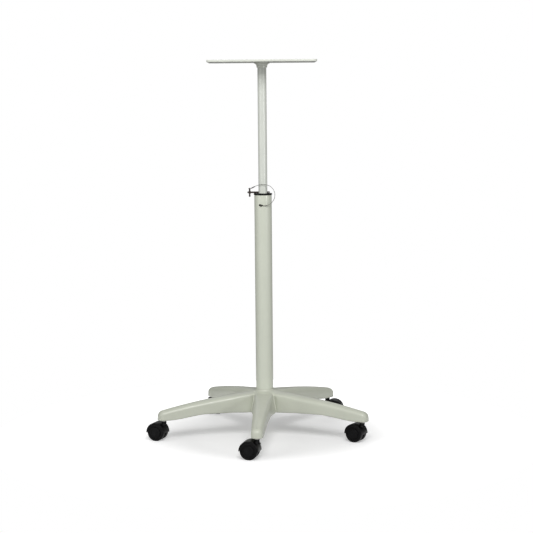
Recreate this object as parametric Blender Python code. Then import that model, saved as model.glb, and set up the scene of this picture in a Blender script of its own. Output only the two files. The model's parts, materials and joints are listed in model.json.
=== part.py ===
"""Height-adjustable equipment stand on a five-arm caster base.

Units are metres and +Z is up. The origin is on the floor, in the middle of
the footprint. Everything is modelled about the column's axis, and at the end
the whole stand is moved so that its footprint is centred. The top plate and
the lock pin lie along X. Arm 1 points to the front, towards -Y, turned a few
degrees, because the base is bolted on separately.
"""

import math

import bmesh
import bpy
from mathutils import Matrix, Vector

GAP = 0.0003  # between two pieces that touch
COLUMN_X = 0.0231  # the column's axis, from the middle of the footprint
COLUMN_Y = 0.0077

# Base: one cast five-arm star
ARMS = 5
BASE_TURN = math.radians(-4.1)
BASE_RADIUS = 0.3185
ARM_TIP_HALF_WIDTH = 0.0172
ARM_ROOT_HALF_WIDTH = 0.0270
ARM_TIP_CORNER = 0.015
ARM_FILLET = 0.015
ARM_EDGE = 0.006
FILLET_POINTS = 3
ROOT_POINTS = 5
ARM_STATIONS = [0.0, 0.12, 0.27, 0.45, 0.62, 0.8, 1.0]  # along an arm, 0 to 1
ARM_TOP_START = 0.1305
ARM_TOP_SLOPE = 0.045
ARM_TOP_CURVE = 0.297
ARM_UNDERSIDE = 0.0745
ARM_TIP_UNDERSIDE = 0.0610
ARM_DROP_START = 0.170
ARM_DROP_LENGTH = 0.120
ARM_WALL = 0.0045
ARM_ROOF = 0.006
POCKET_START = 0.062
POCKET_END = 0.272
POCKET_LOW = 0.050
POCKET_BEVEL = (0.004, 0.006)
HUB_TOP = 0.1385
HUB_FLOOR = 0.0820
HUB_RINGS = [(0.0335, 0.0008), (0.0285, 0.0045), (0.0262, 0.0095)]  # radius, rise
HUB_UNDER_RING = 0.020

# Column: a round tube clamped into the hub by one bolt
COLUMN_RADIUS = 0.025
COLUMN_WALL = 0.002
COLUMN_TOP = 0.7035
COLUMN_PLUG_LENGTH = 0.018
HUB_BOLT_RADIUS = 0.006
HUB_BOLT_HEAD_RADIUS = 0.0095
HUB_BOLT_HEAD = 0.0075
HUB_BOLT_KEY_RADIUS = 0.0050
HUB_BOLT_KEY_DEPTH = 0.0040
HUB_WASHER_RADIUS = 0.017
HUB_WASHER = 0.0025

# Collar: a plastic bush that guides the mast at the column's mouth
COLLAR_RADIUS = 0.0265
COLLAR_FLANGE = 0.0045
COLLAR_SPIGOT_LENGTH = 0.040

# Mast: the inner tube, with a row of cross holes for the lock pin
MAST_RADIUS = 0.0127
MAST_WALL = 0.0015
MAST_BOTTOM = 0.1150
MAST_HOLES = 7
MAST_HOLE_PITCH = 0.050
MAST_HOLE_RADIUS = 0.0029
MAST_PLUG_LENGTH = 0.022
GUIDE_HEIGHT = 0.034
GUIDE_FLOOR = 0.005
GUIDE_SCREW_RADIUS = 0.0025
GUIDE_SCREW_HEAD_RADIUS = 0.0048
GUIDE_SCREW_HEAD = 0.0028
GUIDE_SCREW_REACH = 0.018

# Top plate and the flared socket that carries it
PLATE_WIDTH = 0.309
PLATE_DEPTH = 0.200
PLATE_THICKNESS = 0.006
PLATE_CORNER = 0.010
PLATE_EDGE = 0.0008
PLATE_TOP = 1.0875
SOCKET_HEIGHT = 0.0145
SOCKET_RIM = 0.0030
SOCKET_TOP_RADIUS = 0.0232
SOCKET_NECK_RADIUS = 0.0152
SOCKET_ROOF = 0.004
PLATE_SCREW_CIRCLE = 0.0175
PLATE_SCREW_RADIUS = 0.0015
PLATE_SCREW_HEAD_RADIUS = 0.0031
PLATE_SCREW_HEAD = 0.0019
GRUB_SCREW_RADIUS = 0.0020

# Lock pin: a quick-release pin with a tee handle and a push button
PIN_RADIUS = 0.0025
PIN_Z = COLUMN_TOP + COLLAR_FLANGE + PIN_RADIUS + GAP
PIN_TIP = 0.0195
PIN_BORE = 0.0013
TEE_X = -0.0382
TEE_HALF_LENGTH = 0.0128
TEE_RADIUS = 0.0021
TEE_HUB_RADIUS = 0.0038
TEE_HUB_HALF = 0.0034
BUTTON_RADIUS = 0.0024
BUTTON_END = -0.0446
BUTTON_TRAVEL = 0.0025
SPINDLE_RADIUS = 0.0008
BALL_RADIUS = 0.0010
BALL_X = 0.0160
BALL_OUT = 0.0020

# Lanyard: a thin wire rope from the tee handle to a screw on the column
WIRE_RADIUS = 0.00075
FERRULE_RADIUS = 0.00155
LANYARD_SCREW_X = -0.0056
LANYARD_SCREW_Z = 0.6745
LANYARD_SCREW_RADIUS = 0.0018
LANYARD_SCREW_DEPTH = 0.0060
LANYARD_HEAD_RADIUS = 0.0030
LANYARD_HEAD = 0.0022
EYELET_RADIUS = 0.0036
EYELET_THICKNESS = 0.0010
EYELET_TAIL_WIDTH = 0.0030
EYELET_TAIL_END = 0.0065
LOOP_RADIUS = 0.0034
LOOP_WIRE = 0.0006
LANYARD_ROUTE = [
    (0.0111, -0.0264, 0.6740),
    (0.0150, -0.0262, 0.6757),
    (0.0205, -0.0262, 0.6789),
    (0.0262, -0.0270, 0.6841),
    (0.0305, -0.0280, 0.6902),
    (0.0332, -0.0287, 0.6972),
    (0.0341, -0.0290, 0.7045),
    (0.0330, -0.0282, 0.7130),
    (0.0278, -0.0255, 0.7230),
    (0.0205, -0.0226, 0.7294),
    (0.0118, -0.0199, 0.7327),
    (0.0032, -0.0176, 0.7338),
    (-0.0054, -0.0153, 0.7336),
    (-0.0135, -0.0124, 0.7319),
    (-0.0190, -0.0098, 0.7299),
    (-0.0236, -0.0075, 0.7278),
]
LOWER_FERRULE = [(0.0108, -0.02645, 0.6739), (0.0016, -0.0269, 0.6740)]
UPPER_FERRULE = [(-0.0239, -0.0073, 0.7276), (-0.0335, -0.0025, 0.7226)]

# Casters: hooded twin-wheel swivel casters on plug-in stems
CASTER_REACH = 0.3000
CASTER_TRAIL = 0.0205
CASTER_TURN = [165, 148, -10, 90, 157]  # degrees, as the swivels happen to stand
WHEEL_RADIUS = 0.025
WHEEL_WIDTH = 0.0146
WHEEL_TREAD_EDGE = 0.0018
WHEEL_INSIDE = 0.0036
AXLE_RADIUS = 0.003
AXLE_LUG_RADIUS = 0.0085
HOOD_OUTER = 0.0284
HOOD_INNER = 0.0265
HOOD_HALF_WIDTH = 0.0186
HOOD_EDGE = 0.0010
HOOD_WEB = 0.0030
HOOD_TOP = 0.0575
HOOD_BOSS = 0.0071
HOOD_BOSS_FOOT = 0.036
STEM_RADIUS = 0.0055
STEM_NECK_RADIUS = 0.0030
STEM_FOOT = 0.0460
STEM_COLLAR_RADIUS = 0.0070
STEM_COLLAR = 0.0009
STEM_TOP = 0.0815
SLEEVE_RADIUS = 0.0075
SLEEVE_FLANGE_RADIUS = 0.0100
SLEEVE_FLANGE = 0.0013
SLEEVE_TOP = 0.0835

for old in list(bpy.data.objects):
    bpy.data.objects.remove(old, do_unlink=True)


def material(name, color, roughness, metallic=0.0):
    found = bpy.data.materials.get(name)
    if found:
        return found
    made = bpy.data.materials.new(name)
    made.use_nodes = True
    shader = made.node_tree.nodes["Principled BSDF"]
    shader.inputs["Base Color"].default_value = (*color, 1.0)
    shader.inputs["Roughness"].default_value = roughness
    shader.inputs["Metallic"].default_value = metallic
    made.diffuse_color = (*color, 1.0)
    return made


def paint():
    return material("grey_green_paint", (0.60, 0.63, 0.54), 0.42)


def mast_metal():
    return material("mast_satin_metal", (0.70, 0.72, 0.66), 0.34, 0.2)


def plate_paint():
    return material("plate_paint", (0.66, 0.68, 0.62), 0.38)


def black_plastic():
    return material("black_plastic", (0.012, 0.012, 0.012), 0.45)


def wheel_rubber():
    return material("wheel_rubber", (0.010, 0.010, 0.011), 0.60)


def steel():
    return material("zinc_steel", (0.55, 0.54, 0.52), 0.32, 1.0)


def dark_steel():
    return material("dark_steel", (0.14, 0.13, 0.12), 0.36, 0.9)


def mesh_from(bm, name, sharp_degrees=35):
    bmesh.ops.remove_doubles(bm, verts=bm.verts, dist=1e-7)
    bmesh.ops.recalc_face_normals(bm, faces=bm.faces)
    mesh = bpy.data.meshes.new(name)
    bm.to_mesh(mesh)
    bm.free()
    mesh.shade_smooth()
    mesh.set_sharp_from_angle(angle=math.radians(sharp_degrees))
    return mesh


def add(name, mesh, finish, location=(0, 0, 0), rotation=(0, 0, 0), parent=None):
    obj = bpy.data.objects.new(name, mesh)
    bpy.context.scene.collection.objects.link(obj)
    obj.location = location
    obj.rotation_euler = rotation
    obj.parent = parent
    if finish is not None and not mesh.materials:
        mesh.materials.append(finish)
    return obj


def empty(name, location, turn=0.0, parent=None):
    made = bpy.data.objects.new(name, None)
    bpy.context.scene.collection.objects.link(made)
    made.empty_display_size = 0.02
    made.location = location
    made.rotation_euler = (0, 0, turn)
    made.parent = parent
    return made


def turned(bm, profile, segments=32, place=Matrix.Identity(4)):
    """A solid of revolution about Z from a closed (radius, height) outline."""
    rings = []
    for radius, height in profile:
        if radius < 1e-7:
            rings.append([bm.verts.new(place @ Vector((0, 0, height)))])
            continue
        ring = []
        for i in range(segments):
            a = 2 * math.pi * i / segments
            point = Vector((radius * math.cos(a), radius * math.sin(a), height))
            ring.append(bm.verts.new(place @ point))
        rings.append(ring)
    for lower, upper in zip(rings, rings[1:] + rings[:1]):
        if len(lower) == 1 and len(upper) == 1:
            continue
        for i in range(segments):
            j = (i + 1) % segments
            corners = [
                lower[i % len(lower)],
                lower[j % len(lower)],
                upper[j % len(upper)],
                upper[i % len(upper)],
            ]
            unique = list(dict.fromkeys(corners))
            bm.faces.new(unique)


def turned_mesh(name, profile, segments=32, place=Matrix.Identity(4)):
    bm = bmesh.new()
    turned(bm, profile, segments, place)
    return mesh_from(bm, name)


def rod(radius, low, high, chamfer=0.0):
    """The outline of a plain rod along Z, with an optional chamfer."""
    if chamfer <= 0:
        return [(0, low), (radius, low), (radius, high), (0, high)]
    return [
        (0, low),
        (radius - chamfer, low),
        (radius, low + chamfer),
        (radius, high - chamfer),
        (radius - chamfer, high),
        (0, high),
    ]


def pipe(outer, inner, low, high):
    return [(inner, low), (outer, low), (outer, high), (inner, high)]


def along_x(x=0.0, y=0.0, z=0.0):
    """Turns a piece made along +Z so that it lies along +X."""
    return Matrix.Translation((x, y, z)) @ Matrix.Rotation(math.pi / 2, 4, "Y")


def along_y(x=0.0, y=0.0, z=0.0):
    """Turns a piece made along +Z so that it lies along -Y."""
    return Matrix.Translation((x, y, z)) @ Matrix.Rotation(math.pi / 2, 4, "X")


def to_back(y, z):
    """Turns a piece made along +Z so that it points to the back, along +Y."""
    return Matrix.Translation((0, y, z)) @ Matrix.Rotation(-math.pi / 2, 4, "X")


def combine(mesh, other, operation):
    """Joins another mesh to a mesh, or cuts it away, and returns the result."""
    body = bpy.data.objects.new("body", mesh)
    tool = bpy.data.objects.new("tool", other)
    collection = bpy.context.scene.collection
    collection.objects.link(body)
    collection.objects.link(tool)
    boolean = body.modifiers.new("boolean", "BOOLEAN")
    boolean.operation = operation
    boolean.solver = "EXACT"
    boolean.object = tool
    graph = bpy.context.evaluated_depsgraph_get()
    result = bpy.data.meshes.new_from_object(body.evaluated_get(graph))
    result.name = mesh.name
    bpy.data.objects.remove(body)
    bpy.data.objects.remove(tool)
    result.shade_smooth()
    result.set_sharp_from_angle(angle=math.radians(35))
    return result


def smoothstep(t):
    t = max(0.0, min(1.0, t))
    return t * t * (3 - 2 * t)


# --- base -------------------------------------------------------------------


def arm_half_width(r):
    along = (r - ARM_POINTS_START) / (BASE_RADIUS - ARM_TIP_CORNER - ARM_POINTS_START)
    return ARM_ROOT_HALF_WIDTH + (ARM_TIP_HALF_WIDTH - ARM_ROOT_HALF_WIDTH) * along


def arm_top(r):
    return ARM_TOP_START - ARM_TOP_SLOPE * r - ARM_TOP_CURVE * r * r


def arm_underside(r):
    drop = smoothstep((r - ARM_DROP_START) / ARM_DROP_LENGTH)
    return ARM_UNDERSIDE - (ARM_UNDERSIDE - ARM_TIP_UNDERSIDE) * drop


ARM_SECTOR = 2 * math.pi / ARMS
ARM_POINTS_START = (ARM_ROOT_HALF_WIDTH + ARM_FILLET) / math.tan(ARM_SECTOR / 2)
FILLET_CENTRE = (ARM_ROOT_HALF_WIDTH + ARM_FILLET) / math.sin(ARM_SECTOR / 2)


def arm_angle(k):
    """The angle of arm k from +X; arm 0 points to the front."""
    return -math.pi / 2 + BASE_TURN + k * ARM_SECTOR


def arm_side(inset):
    """Half of one arm's plan outline, from the hub to the tip, as (r, w)."""
    straight_end = BASE_RADIUS - ARM_TIP_CORNER
    points = []
    for s in ARM_STATIONS:
        r = ARM_POINTS_START + (straight_end - ARM_POINTS_START) * s
        points.append((r, arm_half_width(r) - inset))
    corner = ARM_TIP_CORNER - inset
    for i in range(1, 4):
        a = math.pi / 6 * i
        r = straight_end + corner * math.sin(a)
        points.append((r, ARM_TIP_HALF_WIDTH - ARM_TIP_CORNER + corner * math.cos(a)))
    return points


def star_outline(inset):
    """The star's plan outline as (x, y, r) points, in order round it."""
    points = []
    for k in range(ARMS):
        a = arm_angle(k)
        out = Vector((math.cos(a), math.sin(a)))
        side = Vector((-math.sin(a), math.cos(a)))
        half = arm_side(inset)
        for r, w in half:
            points.append((*(out * r - side * w), r))
        for r, w in reversed(half):
            points.append((*(out * r + side * w), r))
        middle = a + ARM_SECTOR / 2
        centre = Vector((math.cos(middle), math.sin(middle))) * FILLET_CENTRE
        bend = math.pi - ARM_SECTOR
        for i in range(1, FILLET_POINTS + 1):
            turn = middle + math.pi + bend * (0.5 - i / (FILLET_POINTS + 1))
            point = centre + Vector((math.cos(turn), math.sin(turn))) * (ARM_FILLET + inset)
            points.append((*point, ARM_POINTS_START))
    return points


def quads(bm, first, second):
    """Joins two rings of vertices with a closed band of faces."""
    for i in range(len(first)):
        j = (i + 1) % len(first)
        bm.faces.new((first[i], first[j], second[j], second[i]))


def cover_arms(bm, loop):
    """Fills a star's arms across, and returns the ring left open at the hub."""
    side_count = len(arm_side(0))
    sector = 2 * side_count + FILLET_POINTS
    hub = []
    for k in range(ARMS):
        first = k * sector
        last = first + 2 * side_count - 1
        start = loop[first].co
        end = loop[last].co
        across = []
        for i in range(1, ROOT_POINTS + 1):
            across.append(bm.verts.new(start.lerp(end, i / (ROOT_POINTS + 1))))
        root = (loop[first], loop[first + 1], loop[last - 1], loop[last])
        bm.faces.new((*root, *reversed(across)))
        for i in range(1, side_count - 1):
            near = (loop[first + i], loop[first + i + 1])
            far = (loop[last - i - 1], loop[last - i])
            bm.faces.new((*near, *far))
        hub += [loop[first], *across, *loop[last : first + sector]]
    return hub


def close_in(bm, hub, steps):
    """Adds round rings inside the hub's ring, as (radius, rise) steps."""
    ring = hub
    for radius, rise in steps:
        inner = []
        for v in hub:
            a = math.atan2(v.co.y, v.co.x)
            place = (radius * math.cos(a), radius * math.sin(a), v.co.z + rise)
            inner.append(bm.verts.new(place))
        quads(bm, ring, inner)
        ring = inner
    return ring


def star_mesh():
    """The star: side walls round the outline, arm strips and a round hub."""
    bm = bmesh.new()

    def ring(inset, height):
        return [bm.verts.new((x, y, height(r))) for x, y, r in star_outline(inset)]

    under = ring(ARM_EDGE * 0.5, arm_underside)
    low = ring(0, lambda r: arm_underside(r) + ARM_EDGE * 0.5)
    high = ring(0, lambda r: arm_top(r) - ARM_EDGE)
    brow = ring(ARM_EDGE * 0.3, lambda r: arm_top(r) - ARM_EDGE * 0.3)
    top = ring(ARM_EDGE, arm_top)
    for lower, upper in ((under, low), (low, high), (high, brow), (brow, top)):
        quads(bm, lower, upper)
    rim = (COLUMN_RADIUS + GAP, HUB_TOP - arm_top(ARM_POINTS_START))
    mouth = close_in(bm, cover_arms(bm, top), [*HUB_RINGS, rim])
    bolt_hole = (HUB_BOLT_RADIUS + 2 * GAP, 0.0)
    hole = close_in(bm, cover_arms(bm, under), [(HUB_UNDER_RING, 0.0), bolt_hole])
    floor_outer = [bm.verts.new((v.co.x, v.co.y, HUB_FLOOR)) for v in mouth]
    floor_inner = [bm.verts.new((v.co.x, v.co.y, HUB_FLOOR)) for v in hole]
    quads(bm, mouth, floor_outer)
    quads(bm, floor_outer, floor_inner)
    quads(bm, floor_inner, hole)
    return mesh_from(bm, "base_star")


def pocket_mesh():
    """The hollows under the arms, as one cutter."""
    bm = bmesh.new()
    stations = 6
    narrow, shallow = POCKET_BEVEL
    for k in range(ARMS):
        a = arm_angle(k)
        out = Vector((math.cos(a), math.sin(a), 0))
        side = Vector((-math.sin(a), math.cos(a), 0))
        rings = []
        for i in range(stations):
            r = POCKET_START + (POCKET_END - POCKET_START) * i / (stations - 1)
            w = arm_half_width(r) - ARM_WALL
            roof = arm_top(r) - ARM_ROOF
            half = [(w, POCKET_LOW), (w, roof - shallow), (w - narrow, roof)]
            other = [(-across, z) for across, z in reversed(half)]
            rings.append([bm.verts.new(out * r + side * u + Vector((0, 0, z))) for u, z in half + other])
        for first, second in zip(rings, rings[1:]):
            quads(bm, first, second)
        bm.faces.new(rings[0])
        bm.faces.new(rings[-1])
    return mesh_from(bm, "pockets")


def caster_place(k):
    a = arm_angle(k)
    return Vector((math.cos(a), math.sin(a), 0)) * CASTER_REACH


def build_base():
    star = combine(star_mesh(), pocket_mesh(), "DIFFERENCE")
    bm = bmesh.new()
    for k in range(ARMS):
        place = Matrix.Translation(caster_place(k))
        turned(bm, rod(SLEEVE_RADIUS + GAP, POCKET_LOW, SLEEVE_TOP + GAP), 12, place)
    star = combine(star, mesh_from(bm, "stem_bores"), "DIFFERENCE")
    add("base_star", star, paint())


def build_column():
    bottom = HUB_FLOOR + GAP
    inner = COLUMN_RADIUS - COLUMN_WALL
    tube = turned_mesh("column_tube", pipe(COLUMN_RADIUS, inner, bottom, COLUMN_TOP), 40)
    add("column_tube", combine(tube, lanyard_screw_drill(), "DIFFERENCE"), paint())

    plug_radius = inner - GAP
    plug = turned_mesh(
        "column_plug",
        pipe(plug_radius, HUB_BOLT_RADIUS + GAP, bottom, bottom + COLUMN_PLUG_LENGTH),
    )
    add("column_plug", plug, steel())

    under = ARM_UNDERSIDE - GAP
    washer = turned_mesh(
        "hub_washer",
        pipe(HUB_WASHER_RADIUS, HUB_BOLT_RADIUS + GAP, under - HUB_WASHER, under),
    )
    add("hub_washer", washer, steel())

    head_top = under - HUB_WASHER - GAP
    head_low = head_top - HUB_BOLT_HEAD
    bolt = turned_mesh(
        "hub_bolt",
        [
            (0, head_low + HUB_BOLT_KEY_DEPTH),
            (HUB_BOLT_KEY_RADIUS, head_low + HUB_BOLT_KEY_DEPTH),
            (HUB_BOLT_KEY_RADIUS, head_low),
            (HUB_BOLT_HEAD_RADIUS - 0.0008, head_low),
            (HUB_BOLT_HEAD_RADIUS, head_low + 0.0008),
            (HUB_BOLT_HEAD_RADIUS, head_top),
            (HUB_BOLT_RADIUS, head_top),
            (HUB_BOLT_RADIUS, bottom + COLUMN_PLUG_LENGTH + 0.003),
            (0, bottom + COLUMN_PLUG_LENGTH + 0.003),
        ],
        24,
    )
    add("hub_bolt", bolt, steel())


def lanyard_screw_drill():
    hole = rod(LANYARD_SCREW_RADIUS + GAP, -LANYARD_SCREW_DEPTH - GAP, 0.008)
    return turned_mesh("drill", hole, 12, lanyard_screw_place())


def build_collar():
    low = COLUMN_TOP + GAP
    top = COLUMN_TOP + COLLAR_FLANGE
    bore = MAST_RADIUS + GAP
    spigot = COLUMN_RADIUS - COLUMN_WALL - GAP
    foot = COLUMN_TOP - COLLAR_SPIGOT_LENGTH
    profile = [
        (bore, foot),
        (spigot - 0.001, foot),
        (spigot, foot + 0.001),
        (spigot, low),
        (COLLAR_RADIUS - 0.0005, low),
        (COLLAR_RADIUS, low + 0.0005),
        (COLLAR_RADIUS, top - 0.0012),
        (COLLAR_RADIUS - 0.0012, top),
        (bore + 0.0010, top),
        (bore, top - 0.0010),
    ]
    bush = turned_mesh("collar_bush", profile, 28)
    add("collar_bush", combine(bush, lanyard_screw_drill(), "DIFFERENCE"), black_plastic())


# --- mast and plate ---------------------------------------------------------


def build_mast():
    slide = empty("mast_slide", (0, 0, PIN_Z))
    top = PLATE_TOP - PLATE_THICKNESS - GAP - SOCKET_ROOF - GAP
    bore = MAST_RADIUS - MAST_WALL
    tube = turned_mesh("mast_tube", pipe(MAST_RADIUS, bore, MAST_BOTTOM - PIN_Z, top - PIN_Z), 28)
    bm = bmesh.new()
    for i in range(MAST_HOLES):
        place = along_x(0, 0, -i * MAST_HOLE_PITCH)
        turned(bm, rod(MAST_HOLE_RADIUS, -COLUMN_RADIUS, COLUMN_RADIUS), 10, place)
    turned(bm, rod(GRUB_SCREW_RADIUS + GAP, 0, COLUMN_RADIUS), 12, to_back(0.005, GRUB_Z - PIN_Z))
    tube = combine(tube, mesh_from(bm, "cross_holes"), "DIFFERENCE")
    add("mast_tube", tube, mast_metal(), parent=slide)

    screw_bore = GUIDE_SCREW_RADIUS + GAP
    plug = turned_mesh(
        "mast_end_plug",
        pipe(bore - GAP, screw_bore, MAST_BOTTOM - PIN_Z, MAST_BOTTOM + MAST_PLUG_LENGTH - PIN_Z),
    )
    add("mast_end_plug", plug, steel(), parent=slide)

    guide_radius = COLUMN_RADIUS - COLUMN_WALL - GAP
    under = MAST_BOTTOM - GAP - GUIDE_FLOOR - PIN_Z
    floor = MAST_BOTTOM - GAP - PIN_Z
    rim = under + GUIDE_HEIGHT
    guide = turned_mesh(
        "mast_guide",
        [
            (screw_bore, under),
            (guide_radius - 0.001, under),
            (guide_radius, under + 0.001),
            (guide_radius, rim - 0.001),
            (guide_radius - 0.001, rim),
            (MAST_RADIUS + GAP, rim),
            (MAST_RADIUS + GAP, floor),
            (screw_bore, floor),
        ],
        28,
    )
    add("mast_guide", guide, black_plastic(), parent=slide)

    head_low = under - GAP - GUIDE_SCREW_HEAD
    screw = turned_mesh(
        "guide_screw",
        [
            (0, head_low),
            (GUIDE_SCREW_HEAD_RADIUS - 0.0006, head_low),
            (GUIDE_SCREW_HEAD_RADIUS, head_low + 0.0008),
            (GUIDE_SCREW_HEAD_RADIUS, under - GAP),
            (GUIDE_SCREW_RADIUS, under - GAP),
            (GUIDE_SCREW_RADIUS, floor + GUIDE_SCREW_REACH),
            (0, floor + GUIDE_SCREW_REACH),
        ],
        20,
    )
    add("guide_screw", screw, steel(), parent=slide)
    build_socket(slide)
    build_plate(slide)


GRUB_Z = PLATE_TOP - PLATE_THICKNESS - GAP - SOCKET_HEIGHT + 0.0035


def plate_screw_places():
    for k in range(4):
        a = math.pi / 4 + k * math.pi / 2
        yield Vector((math.cos(a), math.sin(a), 0)) * PLATE_SCREW_CIRCLE


def build_socket(slide):
    """The flared socket: a neck on the mast that opens into a round flange."""
    top = PLATE_TOP - PLATE_THICKNESS - GAP - PIN_Z
    bottom = top - SOCKET_HEIGHT
    bore = MAST_RADIUS + GAP
    profile = [
        (bore, bottom),
        (SOCKET_NECK_RADIUS - 0.0005, bottom),
        (SOCKET_NECK_RADIUS, bottom + 0.0005),
    ]
    flare = SOCKET_TOP_RADIUS - SOCKET_NECK_RADIUS
    rise = SOCKET_HEIGHT - SOCKET_RIM - 0.002
    for i in range(5):
        a = math.pi / 2 * i / 4
        radius = SOCKET_NECK_RADIUS + flare * (1 - math.cos(a))
        profile.append((radius, bottom + 0.002 + rise * math.sin(a)))
    roof = top - SOCKET_ROOF
    profile += [
        (SOCKET_TOP_RADIUS, top - 0.0005),
        (SOCKET_TOP_RADIUS - 0.0005, top),
        (0, top),
        (0, roof),
        (bore, roof),
    ]
    socket = turned_mesh("plate_socket", profile, 28)
    bm = bmesh.new()
    hole = rod(PLATE_SCREW_RADIUS + GAP, roof + 0.0006, top + 0.002)
    for place in plate_screw_places():
        turned(bm, hole, 10, Matrix.Translation(place))
    turned(bm, rod(GRUB_SCREW_RADIUS + GAP, 0, COLUMN_RADIUS), 12, to_back(0.010, GRUB_Z - PIN_Z))
    socket = combine(socket, mesh_from(bm, "socket_holes"), "DIFFERENCE")
    add("plate_socket", socket, plate_paint(), parent=slide)

    grub = turned_mesh(
        "socket_grub_screw",
        rod(GRUB_SCREW_RADIUS, 0, 0.0050, 0.0004),
        16,
        to_back(MAST_RADIUS - MAST_WALL * 0.7, GRUB_Z - PIN_Z),
    )
    add("socket_grub_screw", grub, dark_steel(), parent=slide)


def plate_outline(inset):
    points = []
    corner = PLATE_CORNER - inset
    for k in range(4):
        sx = (1, -1, -1, 1)[k]
        sy = (1, 1, -1, -1)[k]
        centre = Vector((sx * PLATE_WIDTH / 2, sy * PLATE_DEPTH / 2))
        centre -= Vector((sx, sy)) * PLATE_CORNER
        for i in range(6):
            a = math.pi / 2 * (k + i / 5)
            points.append(centre + Vector((math.cos(a), math.sin(a))) * corner)
    return points


def build_plate(slide):
    top = PLATE_TOP - PIN_Z
    bottom = top - PLATE_THICKNESS
    bm = bmesh.new()
    levels = [
        (PLATE_EDGE, bottom),
        (0, bottom + PLATE_EDGE),
        (0, top - PLATE_EDGE),
        (PLATE_EDGE, top),
    ]
    rings = []
    for inset, z in levels:
        rings.append([bm.verts.new((p.x, p.y, z)) for p in plate_outline(inset)])
    for lower, upper in zip(rings, rings[1:]):
        quads(bm, lower, upper)
    bm.faces.new(rings[0])
    bm.faces.new(rings[-1])
    plate = mesh_from(bm, "top_plate")
    bm = bmesh.new()
    for place in plate_screw_places():
        profile = [
            (0, bottom - 0.002),
            (PLATE_SCREW_RADIUS + GAP, bottom - 0.002),
            (PLATE_SCREW_RADIUS + GAP, top - PLATE_SCREW_HEAD - GAP),
            (PLATE_SCREW_HEAD_RADIUS + GAP, top - GAP),
            (PLATE_SCREW_HEAD_RADIUS + GAP, top + 0.002),
            (0, top + 0.002),
        ]
        turned(bm, profile, 12, Matrix.Translation(place))
    plate = combine(plate, mesh_from(bm, "screw_holes"), "DIFFERENCE")
    add("top_plate", plate, plate_paint(), parent=slide)

    low = top - PLATE_THICKNESS - SOCKET_ROOF + 0.0015
    profile = [
        (0, low),
        (PLATE_SCREW_RADIUS, low),
        (PLATE_SCREW_RADIUS, top - PLATE_SCREW_HEAD),
        (PLATE_SCREW_HEAD_RADIUS, top - 0.0003),
        (PLATE_SCREW_HEAD_RADIUS - 0.0002, top),
        (0, top),
    ]
    screw = turned_mesh("plate_screw", profile, 12)
    for k, place in enumerate(plate_screw_places(), 1):
        add(f"plate_screw_{k}", screw, steel(), location=place, parent=slide)


# --- lock pin and lanyard ---------------------------------------------------


def build_lock_pin():
    pull = empty("lock_pin_slide", (0, 0, PIN_Z))
    shaft_start = TEE_X - 0.0004
    shaft = turned_mesh(
        "pin_shaft",
        [
            (PIN_BORE, shaft_start),
            (PIN_RADIUS, shaft_start),
            (PIN_RADIUS, PIN_TIP - 0.0012),
            (PIN_RADIUS - 0.0009, PIN_TIP),
            (PIN_BORE, PIN_TIP),
        ],
        16,
        along_x(),
    )
    ball_bore = rod(BALL_RADIUS + GAP, -2 * PIN_RADIUS, 2 * PIN_RADIUS)
    cross = turned_mesh("ball_bore", ball_bore, 12, along_y(BALL_X, 0, 0))
    add("pin_shaft", combine(shaft, cross, "DIFFERENCE"), dark_steel(), parent=pull)

    bar = rod(TEE_RADIUS, -TEE_HALF_LENGTH, TEE_HALF_LENGTH, 0.0007)
    bar = turned_mesh("pin_tee_handle", bar, 16, Matrix.Translation((TEE_X, 0, 0)))
    hub = rod(TEE_HUB_RADIUS, TEE_X - TEE_HUB_HALF, TEE_X + TEE_HUB_HALF, 0.0005)
    bar = combine(bar, turned_mesh("hub", hub, 16, along_x()), "UNION")
    bore = turned_mesh("bore", rod(PIN_RADIUS + GAP, TEE_X - 0.01, TEE_X + 0.01), 16, along_x())
    add("pin_tee_handle", combine(bar, bore, "DIFFERENCE"), dark_steel(), parent=pull)

    ball = turned_mesh("pin_ball", ball_profile(BALL_RADIUS), 10)
    for side, name in ((1, "pin_ball_back"), (-1, "pin_ball_front")):
        seat = (BALL_X, side * BALL_OUT, 0)
        add(name, ball, steel(), location=seat, parent=pull)

    press = empty("pin_button_slide", (0, 0, 0), parent=pull)
    head_end = shaft_start - BUTTON_TRAVEL - 0.0007
    button = turned_mesh(
        "pin_button",
        [
            (0, BUTTON_END),
            (BUTTON_RADIUS - 0.0006, BUTTON_END),
            (BUTTON_RADIUS, BUTTON_END + 0.0006),
            (BUTTON_RADIUS, head_end),
            (0, head_end),
        ],
        20,
        along_x(),
    )
    add("pin_button", button, black_plastic(), parent=press)
    stops = BALL_X - BUTTON_TRAVEL - BALL_RADIUS
    rod_outline = rod(SPINDLE_RADIUS, head_end + GAP, stops)
    spindle = turned_mesh("pin_spindle", rod_outline, 12, along_x())
    add("pin_spindle", spindle, steel(), parent=press)


def ball_profile(radius):
    steps = 6
    angles = [math.pi * i / steps for i in range(steps + 1)]
    return [(radius * math.sin(a), -radius * math.cos(a)) for a in angles]


def lanyard_screw_angle():
    return math.asin(LANYARD_SCREW_X / COLUMN_RADIUS)


def lanyard_screw_place():
    """Local +Z points out of the column, square to its surface."""
    turn = Matrix.Rotation(lanyard_screw_angle(), 4, "Z")
    return Matrix.Translation((0, 0, LANYARD_SCREW_Z)) @ turn @ along_y(0, -COLUMN_RADIUS, 0)


def ferrule(name, ends, parent=None, origin=Vector((0, 0, 0))):
    """A short crimped ferrule between two points, with small end chamfers."""
    a, b = (Vector(p) - origin for p in ends)
    place = Matrix.Translation(a) @ (b - a).to_track_quat("Z", "Y").to_matrix().to_4x4()
    mesh = turned_mesh(name, rod(FERRULE_RADIUS, 0, (b - a).length, 0.0003), 12, place)
    add(name, mesh, dark_steel(), parent=parent)


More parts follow.
